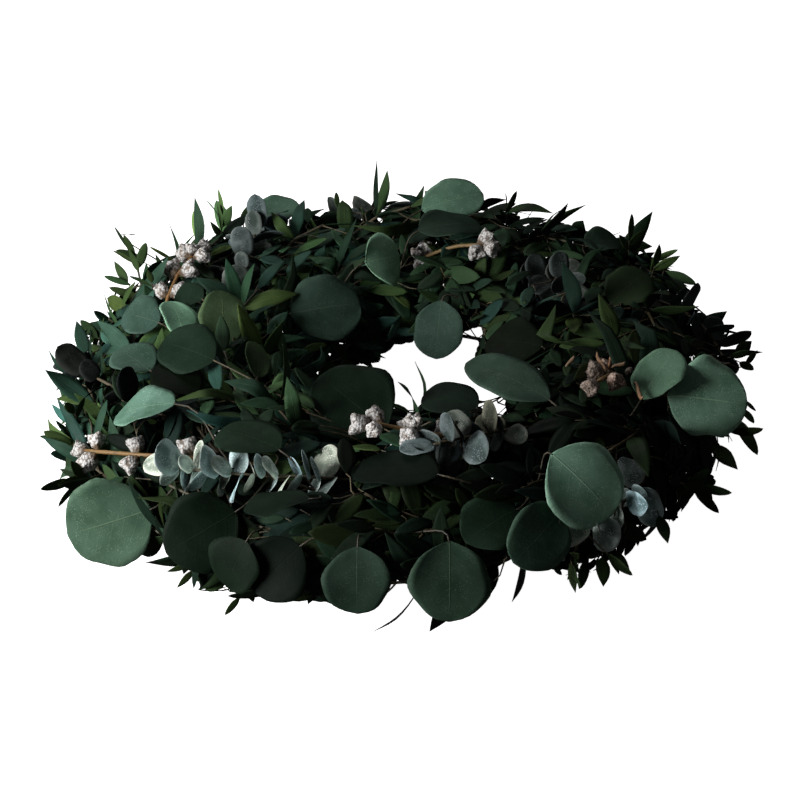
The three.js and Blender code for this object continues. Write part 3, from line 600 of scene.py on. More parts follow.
def occupy(line, sides, half, shown=False):
    """Keeps a coarse strip of a leaf for the tests of room."""
    first, shown_first = len(solid_points), len(shown_points)
    strip = []
    for i, full, share in zip(PICKS, FULL, THIN):
        width = half * full
        one, two = line[i] - sides[i] * width, line[i] + sides[i] * width
        strip.extend([one, two])
        heart, reach = (one + two) / 2, (two - one) / 2 * share
        thin_points.extend([heart - reach, heart + reach])
    solid_points.extend(strip)
    quads = [(2 * k, 2 * k + 1, 2 * k + 3, 2 * k + 2) for k in range(len(PICKS) - 1)]
    solid_faces.extend([tuple(i + first for i in quad) for quad in quads])
    if shown:
        shown_points.extend(strip)
        shown_faces.extend([tuple(i + shown_first for i in quad) for quad in quads])
    middles_of_leaves.append(line[HALFWAY])


POD_GROWTH = 1.45
POD_SIDES = 24
WARTS = 34
# Share of a seed case's height and of its width, from the foot over the rim into the top.
POD_PROFILE = [(0, .22), (.06, .3), (.14, .44), (.24, .6), (.34, .74), (.44, .85), (.54, .92),
               (.64, .96), (.73, .97), (.81, .94), (.88, .86), (.93, .74), (.96, .6), (.95, .46),
               (.91, .32), (.88, .16)]
# The seed cases at the wreath's right, behind its front leaves, are dry and brown or dull green.
# Their tints are also painted darker, about half as light, as painted shade behind the front leaves.
DRY_SHADED_SIDE, DRY_SHADED_FRONT = 0.1, -0.15
DRY_AND_SHADED_TINTS = [(0.62, 0.46, 0.38), (0.50, 0.52, 0.46), (0.45, 0.36, 0.30)]


def gumnut(sheets, pod):
    """A warty seed case: a cup on a short foot, swollen and knobbly, with a domed top."""
    base, top = pod["base"], pod["top"]
    axis = unit(top - base)
    length = norm(top - base) * POD_GROWTH
    top = base + axis * length
    girth = pod["radius"] * POD_GROWTH
    left = unit(np.cross(axis, [0.3, 0.5, 0.8]))
    ahead = np.cross(axis, left)
    sides = POD_SIDES
    lobes = draw.choice((3, 4, 5))
    first_turn = uniform(0, LAP)
    knobs = [(first_turn + LAP * (k + uniform(-0.2, 0.2)) / lobes, uniform(.74, .94), 0.16,
              uniform(0.7, 1.2), 0.0) for k in range(lobes)]
    knobs += [(uniform(0, LAP), uniform(.2, .95), 0.045, 0.0, uniform(0.4, 1))
              for _ in range(WARTS)]
    share, width = [column[:, None] for column in np.array(POD_PROFILE).T]
    turn = np.arange(sides)[None, :] * 2 * pi / sides
    lobe, wart = np.zeros((len(share), sides)), np.zeros((len(share), sides))
    for where, height, spread, big, small in knobs:
        apart = (np.sin((turn - where) / 2) * 2) ** 2 + ((share - height) * 2.3) ** 2
        bump = np.exp(-apart / spread)
        lobe += big * bump
        wart += small * bump
    lobe, wart = np.minimum(lobe, 1.2), np.minimum(wart, 1.2)
    radius = girth * (width + (0.3 * lobe + 0.13 * wart) * (0.4 + 0.6 * width))
    rise = length * (share + 0.2 * lobe - 0.04 * wart)
    spokes = np.cos(turn)[..., None] * left + np.sin(turn)[..., None] * ahead
    points = base + axis * rise[..., None] + radius[..., None] * spokes
    along = np.stack([share + 0 * turn, turn / (2 * pi) + 0 * share], axis=-1).reshape(-1, 2)
    ends = [base - axis * 0.3 * MM, top + axis * 0.3 * MM]
    shade = uniform(0.75, 1.15)
    # Seed cases at the right are tinted dry and painted darker, as painted shade.
    dry_and_shaded = base[0] > CENTRE.x + DRY_SHADED_SIDE and base[1] > CENTRE.y + DRY_SHADED_FRONT
    tint = draw.choice(DRY_AND_SHADED_TINTS) if dry_and_shaded else (1, 1, 1)
    sheets.add([*points.reshape(-1, 3), *ends], barrel_faces(len(share), sides),
               [*along, (0, 0.5), (1, 0.5)], [shade * t for t in tint], LEAF_SLOT)
    line = base + axis * np.linspace(0, length, STATIONS)[:, None]
    for side in (left, ahead):
        occupy(line, everywhere(side), girth * 1.1, True)


PAIR_GAP = 6 * MM
PAIR_WIDTH = 0.75


def between_pairs(sheets, stem, leaves):
    """Smaller pairs between a blue spray's own pairs, a quarter turn on from them."""
    spots = [int(np.argmin(norm(stem - leaf["line"][0], axis=1))) for leaf in leaves]
    order = sorted(range(len(leaves)), key=lambda i: spots[i])
    for one, two in zip(order, order[1:]):
        gap = norm(stem[spots[one]] - stem[spots[two]])
        if gap < PAIR_GAP:
            continue
        middle = (spots[one] + spots[two]) // 2
        way = unit(stem[min(middle + 1, len(stem) - 1)] - stem[middle - 1])
        aside = leaves[one]["line"][-1] - leaves[one]["line"][0]
        turned = unit(np.cross(way, aside))
        size = leaves[one]["length"] * uniform(0.6, 0.8)
        for u in (turned, -turned):
            axis = unit(u + way * uniform(0.25, 0.6))
            normal = unit(way - axis * np.dot(way, axis))
            path = stem[middle] + axis * size * SHARES + normal * 0.12 * size * SHARES * SHARES
            across = everywhere(np.cross(axis, normal))
            half = leaves[one]["half"] * PAIR_WIDTH
            blade(sheets, path, across, everywhere(normal), half, BLUE_OUTLINE, (11, 7),
                  blue_tone(path[HALFWAY]), 0.06, 0.03)
            occupy(path, across, half, True)


pieces, carriers = {}, []
for name, spray in sprays.items():
    kind = kind_of(name)
    sheets = Sheets()
    middles = [middle for middle, _ in spray["stem"]]
    line, _ = smooth_line(middles, max(12, len(middles) * 3))
    widths = np.interp(np.linspace(0, 1, len(line)), np.linspace(0, 1, len(middles)),
                       [width for _, width in spray["stem"]])
    bumps = [1 + 0.12 * draw.random() for _ in line]
    bark = TWIG_TONE if kind == GUMNUT else STEM_TONE
    tube(sheets, line, widths * 1.02 * bumps, 8, hue(bark, 0.1))
    pieces[name] = sheets
    if kind != GUMNUT:
        carriers += [(point, name) for point in line[len(line) // 5:]]
    for found in spray["blades"]:
        leaf = seat(kind, found)
        # Leaf tones carry painted light and shade: from the tables, or by place for narrow leaves.
        if kind == ROUND:
            tone = round_tone(leaf["middle"])
        elif kind == BLUE:
            tone = blue_tone(leaf["middle"])
        else:
            tone = hue([c * painted_shade_at(leaf["middle"]) for c in draw.choice(NARROW_TONES)])
        wave, ragged = 0.05, 0.03
        if leaf["stalk"] is not None:
            start, end = leaf["stalk"]
            leave = unit(end - start)
            arrive = unit(leaf["line"][2] - leaf["line"][0])
            path = bend(start - leave * 0.6 * MM, end + arrive * 1.2 * MM, leave, arrive)
            # The stalk is painted lighter or darker by where it lies, as painted light and shade.
            bark = hue([c * painted_shade_at(end) for c in STEM_TONE])
            taper(sheets, path, 0.85, 0.6, 6, bark)
            wave, ragged = 0.12, 0.07
        blade(sheets, leaf["line"], leaf["sides"], leaf["normals"], leaf["half"], KINDS[kind].outline,
              KINDS[kind].grid, tone, wave, ragged)
        occupy(leaf["line"], leaf["sides"], leaf["half"], kind != NARROW)
    for pod in spray["pods"]:
        gumnut(sheets, pod)
    if kind == BLUE:
        between_pairs(sheets, line, [seat(kind, found) for found in spray["blades"]])


# ---- fine side twigs between the sprays
def leaf_tree(points):
    """A tree for looks and clashes, over all strips as full or as thin ones."""
    return BVHTree.FromPolygons(points, solid_faces)


tree = leaf_tree(solid_points)
shown_tree = BVHTree.FromPolygons(shown_points, shown_faces)
grown_leaves = 0
REBUILD_EVERY = 40
STAND_PROUD = 7 * MM
LOW_CORNER = np.array(CAD_BOX[0]) - np.array([STAND_PROUD, STAND_PROUD, 0])
HIGH_CORNER = np.array(CAD_BOX[1]) + np.array([STAND_PROUD, STAND_PROUD, 0])
REACH_LIMIT = 1.1
# Stations of a new leaf that have to be free, with the share of its half width there.
FREE_STRIP = [(1, 0.3), (6, 0.9), (12, 0.9), (19, 0.3)]
FREE_FACES = [(0, 1, 3, 2), (2, 3, 5, 4), (4, 5, 7, 6)]
# How near in front of a main leaf a new one counts as hiding it, and how often that is refused.
HIDE_REACH, HIDE_REFUSED = 0.08, 0.93


def fits(line, sides, half, limit):
    """True where a leaf is clear of the table, the hole, the box and every leaf placed before."""
    strip = []
    for i, share in FREE_STRIP:
        width = half * share
        strip.extend([line[i] - sides[i] * width, line[i] + sides[i] * width])
    points = np.array(strip)
    if points[:, 2].min() < TABLE_KEEP:
        return False
    if np.hypot(points[:, 0] - CENTRE.x, points[:, 1] - CENTRE.y).min() < HOLE_KEEP:
        return False
    if (points < LOW_CORNER).any() or (points > HIGH_CORNER).any():
        return False
    seen = pixels(np.concatenate([points, line[::3]]))
    if inside(seen, HOLE_SEEN).any():
        return False
    if limit == REACH_LIMIT and not inside(seen, EDGE_SEEN).all():
        return False
    if around(line[-1])[2] > limit or around(line[12])[2] > limit:
        return False
    for point in (line[8], line[14], line[-1]):
        hidden = shown_tree.ray_cast(Vector(point), -BACK, HIDE_REACH)[0] is not None
        if hidden and draw.random() < HIDE_REFUSED:
            return False
    return not BVHTree.FromPolygons(strip, FREE_FACES).overlap(tree)


def free_leaf(sheets, start, axis, normal, length, half, droop, tone, grid, limit=REACH_LIMIT):
    """A narrow leaf grown from a twig. Returns False where there is no room for it."""
    global tree, grown_leaves
    axis = unit(axis)
    normal = unit(normal - axis * np.dot(normal, axis))
    side = np.cross(axis, normal)
    line = start + axis * length * SHARES - normal * droop * length * SHARES * SHARES
    sides = everywhere(side)
    normals = everywhere(normal) + axis * 2 * droop * SHARES
    if not fits(line, sides, half, limit):
        return False
    outline = LANCE_OUTLINE if draw.random() < 0.45 else OVAL_OUTLINE
    blade(sheets, line, sides, normals, half, outline, grid, tone)
    occupy(line, sides, half)
    grown_leaves += 1
    if grown_leaves % REBUILD_EVERY == 0:
        tree = leaf_tree(solid_points)
    return True


def leafy_twig(name, path, size, tone, first=2, grid=(8, 5)):
    """Leaves left and right along a fine twig and one at its end; bare twigs aren't kept."""
    sheets = pieces[name]
    last = 0
    for i in range(first, len(path), 2):
        way = unit(path[i] - path[i - 1])
        out = outward(path[i])
        across = unit(np.cross(out, way))
        ways = [-across, across] + ([way * 2.5] if i >= len(path) - 2 else [])
        for aside in ways:
            if draw.random() < 0.1:
                continue
            axis = way * uniform(0.5, 1.1) + aside * uniform(0.45, 1.0)
            axis = axis + out * uniform(-0.3, 0.3)
            normal = out + aside * uniform(-0.7, 0.4) + way * uniform(-0.6, 0.4)
            length = size * uniform(0.75, 1.25)
            half = length * uniform(0.14, 0.2)
            # Each leaf is painted lighter or darker by where it lies, as painted light and shade.
            if free_leaf(sheets, path[i], axis, normal, length, half, uniform(0.0, 0.28),
                         hue([c * painted_shade_at(path[i]) for c in tone], 0.3), grid):
                last = i
    if last:
        path = path[:last + 1]
        taper(sheets, path, 0.75, 0.4, 5, hue(STEM_TONE))
        carriers.extend((point, name) for point in path[1::2])


TWIG_STEP = 5 * MM
TWIG_GAP = 13 * MM


def side_twig(name, start, drift, depth, steps, size, tone):
    """A fine twig that runs on clockwise near the surface."""
    point, path = np.array(start), [np.array(start)]
    for _ in range(steps):
        deep = around(point)[2]
        out = outward(point)
        forward = clockwise(point)
        across = np.cross(out, forward)
        way = unit(forward + drift * across + out * np.clip((depth - deep) * 3.0, -0.9, 0.9))
        if point[2] < 10 * MM:
            way = unit(way + np.array([0, 0, 0.5]))
        point = point + way * TWIG_STEP
        path.append(point)
        drift *= 0.93
    if min(p[2] for p in path) < 2 * MM:
        return
    if min(from_axis(p) for p in path) < HOLE_KEEP + 3 * MM:
        return
    leafy_twig(name, path, size, tone)


for name in list(pieces):
    if kind_of(name) in (BLUE, GUMNUT):
        continue
    line = np.array([point for point, carrier in carriers if carrier == name])
    run = run_of(line)
    for where in np.arange(0.05 * run[-1], run[-1], TWIG_GAP):
        where += uniform(-0.3, 0.3) * TWIG_GAP
        side_twig(name, resample([where], run, line)[0], draw.choice((-1, 1)) * uniform(0.3, 1.4),
                  uniform(0.7, 1.0), draw.randint(5, 11), uniform(26, 40) * MM,
                  draw.choice(NARROW_TONES))

# Stands for the distance of a twig point that can't be used.
FAR_OFF = 9
# Fill leaves: the span of leans round the section, how near and how far off their twig may start,
# how much it has to run clockwise, and how far above the table and out of the hole they keep.
FILL_LEANS = (-55, 235)
FILL_NEAR, FILL_FAR = 14 * MM, 75 * MM
FILL_ONWARD = 0.25
FILL_LOW, FILL_OUT = 6 * MM, HOLE_KEEP + 8 * MM


def nearest_twig(target, least, onward=None):
    """The nearest twig point at least this far off (and behind, if asked), its spray and distance."""
    gap = target - np.array([point for point, _ in carriers])
    far = norm(gap, axis=1)
    free = far > least
    if onward is not None:
        free &= gap @ clockwise(target) > onward * far
    far = np.where(free, far, FAR_OFF)
    best = int(np.argmin(far))
    return *carriers[best], far[best]


def fill_gaps(depth, clock_step, lean_step, room, size, shade, grid):
    """Grows a twig towards each place of the ring's section that no leaf is near."""
    for clock, lean in product(np.arange(0, 360, clock_step), np.arange(*FILL_LEANS, lean_step)):
        target = place_degrees(shaken(clock, clock_step), shaken(lean, lean_step), depth)
        if target[2] < FILL_LOW or from_axis(target) < FILL_OUT:
            continue
        if norm(np.array(middles_of_leaves) - target, axis=1).min() < room:
            continue
        start, name, far = nearest_twig(target, FILL_NEAR, FILL_ONWARD)
        if far > FILL_FAR:
            continue
        leave = unit(clockwise(start) + 0.4 * unit(target - start))
        arrive = unit(clockwise(target) + outward(target) * 0.25)
        path = list(bend(start, target, leave, arrive, max(5, int(far / TWIG_STEP))))
        # `shade` sets how dark a layer's leaves are painted, as painted shade for the deeper layers.
        tone = [c * shade for c in draw.choice(NARROW_TONES)]
        leafy_twig(name, path, size, tone, max(2, len(path) // 3), grid)


# The second layer lies deeper in the wreath and is painted darker, as painted shade inside.
fill_gaps(0.92, 5, 14, 12 * MM, 34 * MM, 1.0, (8, 5))
fill_gaps(0.62, 7, 22, 15 * MM, 34 * MM, 0.6, (6, 3))
fill_gaps(0.95, 4, 11, 11 * MM, 30 * MM, 0.9, (8, 5))


GAP_SIZES = (34 * MM, 26 * MM, 19 * MM, 13 * MM, 9 * MM)
GAP_TURNS = (0, 1.1, -1.1)
GAP_SHIFTS = (0, 10 * MM, -10 * MM, 20 * MM)
# Leaves that close the gaps are painted near black, as painted shade deep inside the wreath.
GAP_PAINTED_SHADE_TONE = [c * 0.5 for c in NARROW_TONES[3]]
# Half the length of a straight look through the wreath; the part of the picture that it takes up;
# and how far out a spot may lie, as a share of the section.
LOOK_HALF = 0.3
SEEN_ACROSS, SEEN_DOWN = (40, 760), (180, 620)
SEEN_DEPTH = 0.9
thin_tree = leaf_tree(thin_points)


def close_at(target, way):
    """A leaf painted deep dark, as painted shade, across a straight look along `way` through one spot,
    where there is room.
    """
    global tree, thin_tree
    start, name, _ = nearest_twig(target, 6 * MM)
    along = target - start
    along -= way * (along @ way)
    along = clockwise(target) if norm(along) < 2 * MM else unit(along)
    across = np.cross(way, along)
    tone = hue(GAP_PAINTED_SHADE_TONE, 0.3)
    for size, turn, shift in product(GAP_SIZES, GAP_TURNS, GAP_SHIFTS):
        axis = unit(along * cos(turn) + across * sin(turn))
        foot = target + way * shift - axis * size * 0.45
        tilt = np.array([uniform(-0.4, 0.4) for _ in range(3)])
        if free_leaf(pieces[name], foot, axis, tilt - way, size, size * 0.24, 0.1, tone, (7, 3)):
            path = bend(start, foot, unit(foot - start), axis, 6)
            taper(pieces[name], path, 0.7, 0.4, 4, hue(STEM_TONE))
            tree, thin_tree = leaf_tree(solid_points), leaf_tree(thin_points)
            return


def close_gaps(way, clock_step, lean_step):
    """Closes the places where a straight look along `way` would pass right through the wreath."""
    for clock, lean in product(np.arange(0, 360, clock_step), np.arange(0, 360, lean_step)):
        target = place_degrees(shaken(clock, clock_step), shaken(lean, lean_step),
                               uniform(0.3, 0.75))
        if target[2] < 5 * MM or inside(pixels([target]), HOLE_SEEN)[0]:
            continue
        if thin_tree.ray_cast(Vector(target - way * LOOK_HALF), Vector(way), 2 * LOOK_HALF)[0] is None:
            close_at(target, way)


def close_seen(step):
    """Closes the places where the floor would show between the leaves in the picture."""
    spots = np.array([(shaken(across, step), shaken(down, step))
                      for down in np.arange(*SEEN_DOWN, step) for across in np.arange(*SEEN_ACROSS, step)])
    spots = spots[inside(spots, EDGE_SEEN) & ~inside(spots, HOLE_SEEN)]
    for pixel in spots:
        if thin_tree.ray_cast(EYE, Vector(look_at(pixel)), 2 * CAMERA_DISTANCE)[0] is not None:
            continue
        target = spot_seen(pixel)
        if around(target)[2] < SEEN_DEPTH:
            close_at(target, -TO_CAMERA)


SIDE_LOOKS = [(1, 0.2, -0.3), (-1, 0.3, -0.3), (0.1, -1, -0.45), (0.1, 0.1, -1)]
for look in SIDE_LOOKS:
    close_gaps(np.array(Vector(look).normalized()), 3, 36)
LOOK_DOWN = np.array((0.0, 0.0, -1.0))
close_gaps(LOOK_DOWN, 2.5, 30)
for step in (5, 4):
    close_seen(step)

# Sprigs that stand out of the outline: clock, lean and depth of the end, leaf length, lightness.
# The lightness is partly painted light and shade: the sprigs on the right are painted darker.
STRAYS = [(150, 53, 1.26, 24, 0.6), (128, 62, 1.26, 26, 1.5), (160, 71, 1.15, 18, 0.5),
          (14, 62, 1.16, 24, 0.9), (-8, 25, 1.06, 22, 0.3), (-12, 30, 1.1, 20, 0.3),
          (-24, 6, 1.05, 26, 0.25), (-38, 0, 1.05, 24, 0.3), (-59, -5, 1.05, 26, 0.3),
          (-65, -4, 1.04, 24, 0.3), (-115, -4, 1.08, 26, 0.5), (-162, 36, 1.08, 20, 0.5),
          (-151, 12, 1.08, 26, 0.6), (-162, 20, 1.08, 26, 0.8), (57, 78, 1.14, 20, 0.5),
          (96, 82, 1.12, 20, 0.5), (30, 52, 1.1, 20, 0.6)]


def stray(clock, lean, depth, size, level):
    """A thin sprig from the nearest twig out past the others, with a leaf at its end."""
    end = place_degrees(clock, lean, depth)
    start, name, _ = nearest_twig(end, 22 * MM)
    out = outward(end)
    path = bend(start, end, unit(end - start), unit(out + 0.6 * unit(end - start)))
    tone = [c * level for c in NARROW_TONES[1]]
    way = unit(path[-1] - path[-2])
    across = unit(np.cross(out, clockwise(end)))
    limit = depth + 0.5
    facing = clockwise(end) + 0.6 * out
    for back, axis in ((1, way), (2, way + across), (3, way - across), (4, way)):
        free_leaf(pieces[name], path[-back], axis, facing, size * MM * uniform(0.8, 1.2),
                  size * MM * 0.17, 0.1, hue(tone, 0.15), (9, 5), limit)
    taper(pieces[name], path, 0.8, 0.45, 5, hue(STEM_TONE))


for row in STRAYS:
    stray(*row)

# Leaves whose points make the picture's outer edge: root and tip in the picture, half width as a
# share of the length, and lightness.
# The lightness is partly painted light and shade: lighter at the top left, darker on the right.
EDGE_LEAVES = [
    ((646, 264), (677, 250), 0.10, 2.2), ((666, 271), (696, 284), 0.15, 0.9),
    ((628, 262), (640, 248), 0.14, 0.5), ((700, 328), (716, 315), 0.10, 0.4),
    ((737, 372), (731, 334), 0.22, 0.35), ((735, 356), (752, 341), 0.28, 0.35),
    ((738, 362), (752, 370), 0.24, 0.35), ((745, 365), (758, 350), 0.14, 0.35),
    ((735, 418), (756, 454), 0.14, 0.4), ((742, 408), (754, 423), 0.16, 0.4),
    ((744, 400), (756, 411), 0.12, 0.4), ((704, 443), (729, 467), 0.20, 0.35),
    ((704, 480), (714, 510), 0.16, 0.35), ((695, 478), (686, 501), 0.14, 0.35),
    ((674, 496), (677, 523), 0.20, 0.35), ((652, 512), (661, 539), 0.20, 0.35),
    ((636, 526), (638, 546), 0.16, 0.35), ((612, 548), (626, 572), 0.14, 0.35),
    ((585, 556), (577, 586), 0.16, 0.35), ((597, 552), (598, 581), 0.22, 0.35),
    ((577, 562), (566, 578), 0.14, 0.35), ((609, 548), (619, 574), 0.14, 0.35),
    ((190, 564), (168, 571), 0.14, 0.5), ((194, 570), (177, 588), 0.14, 0.5),
    ((240, 597), (225, 615), 0.14, 0.5), ((226, 582), (205, 590), 0.24, 1.2),
    ((214, 574), (196, 580), 0.24, 0.8), ((145, 263), (116, 250), 0.17, 0.35),
    ((129, 250), (114, 226), 0.05, 0.5), ((127, 234), (137, 235), 0.06, 0.5),
    ((128, 284), (114, 261), 0.16, 0.9), ((131, 285), (104, 276), 0.12, 0.9),
    ((146, 301), (111, 288), 0.12, 0.5), ((168, 281), (156, 254), 0.10, 0.4),
    ((178, 263), (152, 248), 0.06, 0.8), ((202, 246), (196, 212), 0.12, 2.6),
    ((230, 240), (214, 198), 0.16, 2.2), ((226, 242), (212, 223), 0.14, 0.4),
    ((240, 224), (253, 201), 0.14, 0.5), ((98, 338), (80, 320), 0.16, 0.4),
    ((64, 440), (41, 436), 0.12, 0.5), ((338, 208), (336, 192), 0.16, 0.5),
]
EDGE_REACH = 2.0
EDGE_SHIFTS = [shift * MM for shift in (0, 6, -6, 12, -12, 18, -18, 25, -25, 35)]
for root, tip, slim, level in EDGE_LEAVES:
    foot, point = spot_seen(root), spot_seen(tip)
    axis, length = unit(point - foot), norm(point - foot)
    start, name, _ = nearest_twig(foot, 8 * MM)
    tone = hue([c * level for c in NARROW_TONES[1]], 0.12)
    for shift in EDGE_SHIFTS:
        base = foot + TO_CAMERA * shift
        facing = TO_CAMERA + 0.3 * outward(base)
        if free_leaf(pieces[name], base, axis, facing, length, length * slim, 0.02, tone, (9, 5),
                     EDGE_REACH):
            taper(pieces[name], bend(start, base, unit(base - start), axis), 0.7, 0.4, 5, hue(STEM_TONE))
            break

# Dry brown ends of stalks beside the seed cases at the right.
DRY_ENDS = [((606, 374), (597, 352)), ((608, 370), (613, 351)), ((612, 368), (625, 362)),
            ((634, 384), (643, 397)), ((566, 368), (574, 356))]
DRY_TONE = (0.17, 0.085, 0.045)
DRY_RADII = np.array([0.8, 0.9, 1.1, 1.4, 1.6, 1.3, 0.5]) * MM


def apart_seen(name):
    """How far, in the picture, a twig's first seed case is from the dry ends."""
    return np.abs(pixels([sprays[name]["pods"][0]["base"]])[0] - DRY_ENDS[0][0]).sum()


right_twig = min((name for name in pieces if kind_of(name) == GUMNUT), key=apart_seen)
for root, tip in DRY_ENDS:
    foot, point = spot_seen(root, 1.0), spot_seen(tip, 1.1)
    path = bend(foot, point, outward(foot), unit(point - foot + 0.3 * outward(foot)))
    tube(pieces[right_twig], path, DRY_RADII, 7, hue(DRY_TONE, 0.15))


# ---- materials
class Graph:
    """A short way to write a material's nodes."""

    def __init__(self, name):
        self.material = bpy.data.materials.new(name)
        self.material.use_nodes = True
        self.tree = self.material.node_tree
        self.shader = self.tree.nodes["Principled BSDF"]
        self.places = self.tree.nodes.new("ShaderNodeTexCoord").outputs

    def node(self, kind, links=None, **values):
        made = self.tree.nodes.new(kind)
        for key, value in values.items():
            setattr(made, key, value)
        for key, value in (links or {}).items():
            self.feed(made.inputs[key], value)
        return made.outputs[0]

    def feed(self, socket, value):
        if isinstance(value, bpy.types.NodeSocket):
            self.tree.links.new(value, socket)
        else:
            socket.default_value = value

    def math(self, operation, *values):
        return self.node("ShaderNodeMath", dict(enumerate(values)), operation=operation)

    def times(self, one, two):
        return self.math("MULTIPLY", one, two)

    def plus(self, one, two):
        return self.math("ADD", one, two)

    def mix(self, share, one, two, blend="MIX"):
        made = self.tree.nodes.new("ShaderNodeMix")
        made.data_type = "RGBA"
        made.blend_type = blend
        self.feed(made.inputs[0], share)
        self.feed(made.inputs[6], one)
        self.feed(made.inputs[7], two)
        return made.outputs[2]

    def tinted(self, colour, tint):
        return self.mix(1.0, colour, tint, "MULTIPLY")

    def tone(self):
        """The tone that is kept at the mesh's points, painted light and shade included."""
        return self.node("ShaderNodeAttribute", attribute_name="tone")

    def uv(self):
        """The place along a leaf; its second output is the place across."""
        return self.node("ShaderNodeSeparateXYZ", {0: self.places["UV"]})

    def ramp(self, value, low, high):
        """0 below `low`, 1 above `high`."""
        made = self.tree.nodes.new("ShaderNodeMapRange")
        made.interpolation_type = "SMOOTHSTEP"
        self.feed(made.inputs[0], value)
        made.inputs[1].default_value = low
        made.inputs[2].default_value = high
        return made.outputs[0]

    def noise(self, scale, detail=3.0, rough=0.5):
        links = {"Vector": self.places["Object"], "Scale": scale, "Detail": detail, "Roughness": rough}
        return self.node("ShaderNodeTexNoise", links)

    def cells(self, scale):
        return self.node("ShaderNodeTexVoronoi", {"Vector": self.places["Object"], "Scale": scale})

    def finish(self, colour, roughness, height, strength, distance):
        self.feed(self.shader.inputs["Base Color"], colour)
        self.feed(self.shader.inputs["Roughness"], roughness)
        bump = self.node("ShaderNodeBump", {"Height": height, "Strength": strength, "Distance": distance})
        self.feed(self.shader.inputs["Normal"], bump)
        return self.material


RIM_TINT = (2.3, 1.9, 2.0, 1)
DUST_TINT = (3.0, 2.4, 2.7, 1)
FROST_TINT = (1.85, 1.7, 1.72, 1)
BARE_TINT = (0.42, 0.46, 0.44, 1)


SHADE_TINT = (0.58, 0.66, 0.60, 1)


def leaf_material(name, bloom, bloom_share, rough, vein, vein_share, rib_width, speckle, frost=0.0):
    """Base tone from each leaf, mottling, a pale bloom, frost, midrib, side veins and fine specks."""
    g = Graph(name)
    # The base tone holds each leaf's painted light and shade.
    tone = g.tone()
    rim_place = tone.node.outputs["Alpha"]
    along = g.uv()
    aside = g.math("ABSOLUTE", g.math("SUBTRACT", along.node.outputs[1], 0.5))
    mottle = g.noise(60.0, 4.0)
    colour = g.mix(g.ramp(mottle, 0.35, 0.7), tone, g.tinted(tone, SHADE_TINT))
    haze = g.times(g.ramp(g.noise(28.0, 5.0), 0.3, 0.75), bloom_share)
    colour = g.mix(haze, colour, g.tinted(tone, bloom))
    if frost:
        bare = g.times(g.ramp(g.noise(90.0, 4.0), 0.3, 0.6), frost)
        colour = g.mix(bare, colour, g.tinted(tone, BARE_TINT))
        reach = g.plus(rim_place, g.times(mottle, 0.3))
        colour = g.mix(g.times(g.ramp(reach, 0.55, 1.1), frost), colour, g.tinted(tone, FROST_TINT))
    dusted = g.times(g.ramp(g.cells(800.0), 0.42, 0.16), g.ramp(g.noise(130.0, 3.0), 0.38, 0.62))
    colour = g.mix(g.times(dusted, speckle), colour, g.tinted(tone, DUST_TINT))
    frayed = g.times(g.ramp(rim_place, 0.82, 1.0), g.ramp(g.noise(240.0, 3.0), 0.3, 0.7))
    colour = g.mix(g.times(frayed, 0.35 + 0.6 * speckle), colour, g.tinted(tone, RIM_TINT))
    slant = g.math("SUBTRACT", along, g.times(aside, 0.6))
    lines = g.math("SINE", g.plus(g.times(slant, 44.0), g.times(g.noise(60.0, 2.0), 2.2)))
    thin = g.times(g.ramp(lines, 0.94, 1.0), g.ramp(aside, 0.4, 0.12))
    strayed = g.plus(aside, g.times(g.noise(500.0, 2.0), rib_width * 0.6))
    rib = g.times(g.ramp(strayed, rib_width * 1.3, rib_width * 0.5), g.ramp(along, 1.0, 0.5))
    veined = g.tinted(tone, vein)
    colour = g.mix(g.times(thin, vein_share * 0.22), colour, veined)
    colour = g.mix(g.times(rib, vein_share), colour, veined)
    height = g.plus(g.times(g.noise(900.0, 2.0), 0.25), g.times(rib, -0.6))
    height = g.plus(height, g.times(thin, -0.15))
    roughness = g.plus(g.times(g.noise(140.0, 3.0), 0.25), rough)
    g.shader.inputs["Specular IOR Level"].default_value = 0.05
    return g.finish(colour, roughness, height, 0.5, 0.0006)


def leaf_pair(name, bloom, share, rough, *rest):
    """Upper and lower side of one kind of leaf; the lower is duller and paler."""
    under = [c * 1.15 for c in bloom[:3]] + [1]
    return (leaf_material(name + "_upper", bloom, share, rough, *rest),
            leaf_material(name + "_lower", under, min(1, share + 0.3), rough + 0.15, *rest))


BARK_SCALE = 420.0
CRACK_COLOUR = (0.012, 0.011, 0.008, 1)


def bark_material(name, light):
    """Streaked bark with dark cracks."""
    g = Graph(name)
    streak = g.noise(BARK_SCALE, 5.0, 0.65)
    colour = g.mix(g.ramp(streak, 0.4, 0.75), g.tone(), light)
    colour = g.mix(g.times(g.ramp(g.noise(BARK_SCALE * 0.3, 3.0), 0.5, 0.8), 0.6), colour, CRACK_COLOUR)
    return g.finish(colour, g.plus(g.times(streak, 0.3), 0.45), streak, 0.7, 0.0008)


WART_GAP, WART_SILVER = (0.13, 0.105, 0.085, 1), (0.52, 0.51, 0.50, 1)
DUST_BROWN, CUP_BROWN = (0.24, 0.18, 0.13, 1), (0.085, 0.055, 0.03, 1)


def gumnut_material():
    """Silvery warts over a brown cup, dusty and pitted."""
    g = Graph("gumnut_skin")
    cells = g.cells(480.0)
    patch = g.noise(230.0, 5.0, 0.7)
    silver = g.mix(g.ramp(cells, 0.8, 0.35), WART_GAP, WART_SILVER)
    silver = g.mix(g.ramp(patch, 0.5, 0.75), silver, DUST_BROWN)
    share = g.plus(g.uv(), g.times(g.math("SUBTRACT", patch, 0.5), 0.6))
    colour = g.tinted(g.mix(g.ramp(share, 0.12, 0.36), CUP_BROWN, silver), g.tone())
    height = g.plus(g.times(cells, -0.8), g.times(patch, 0.6))
    return g.finish(colour, g.plus(g.times(patch, 0.2), 0.68), height, 0.9, 0.0012)


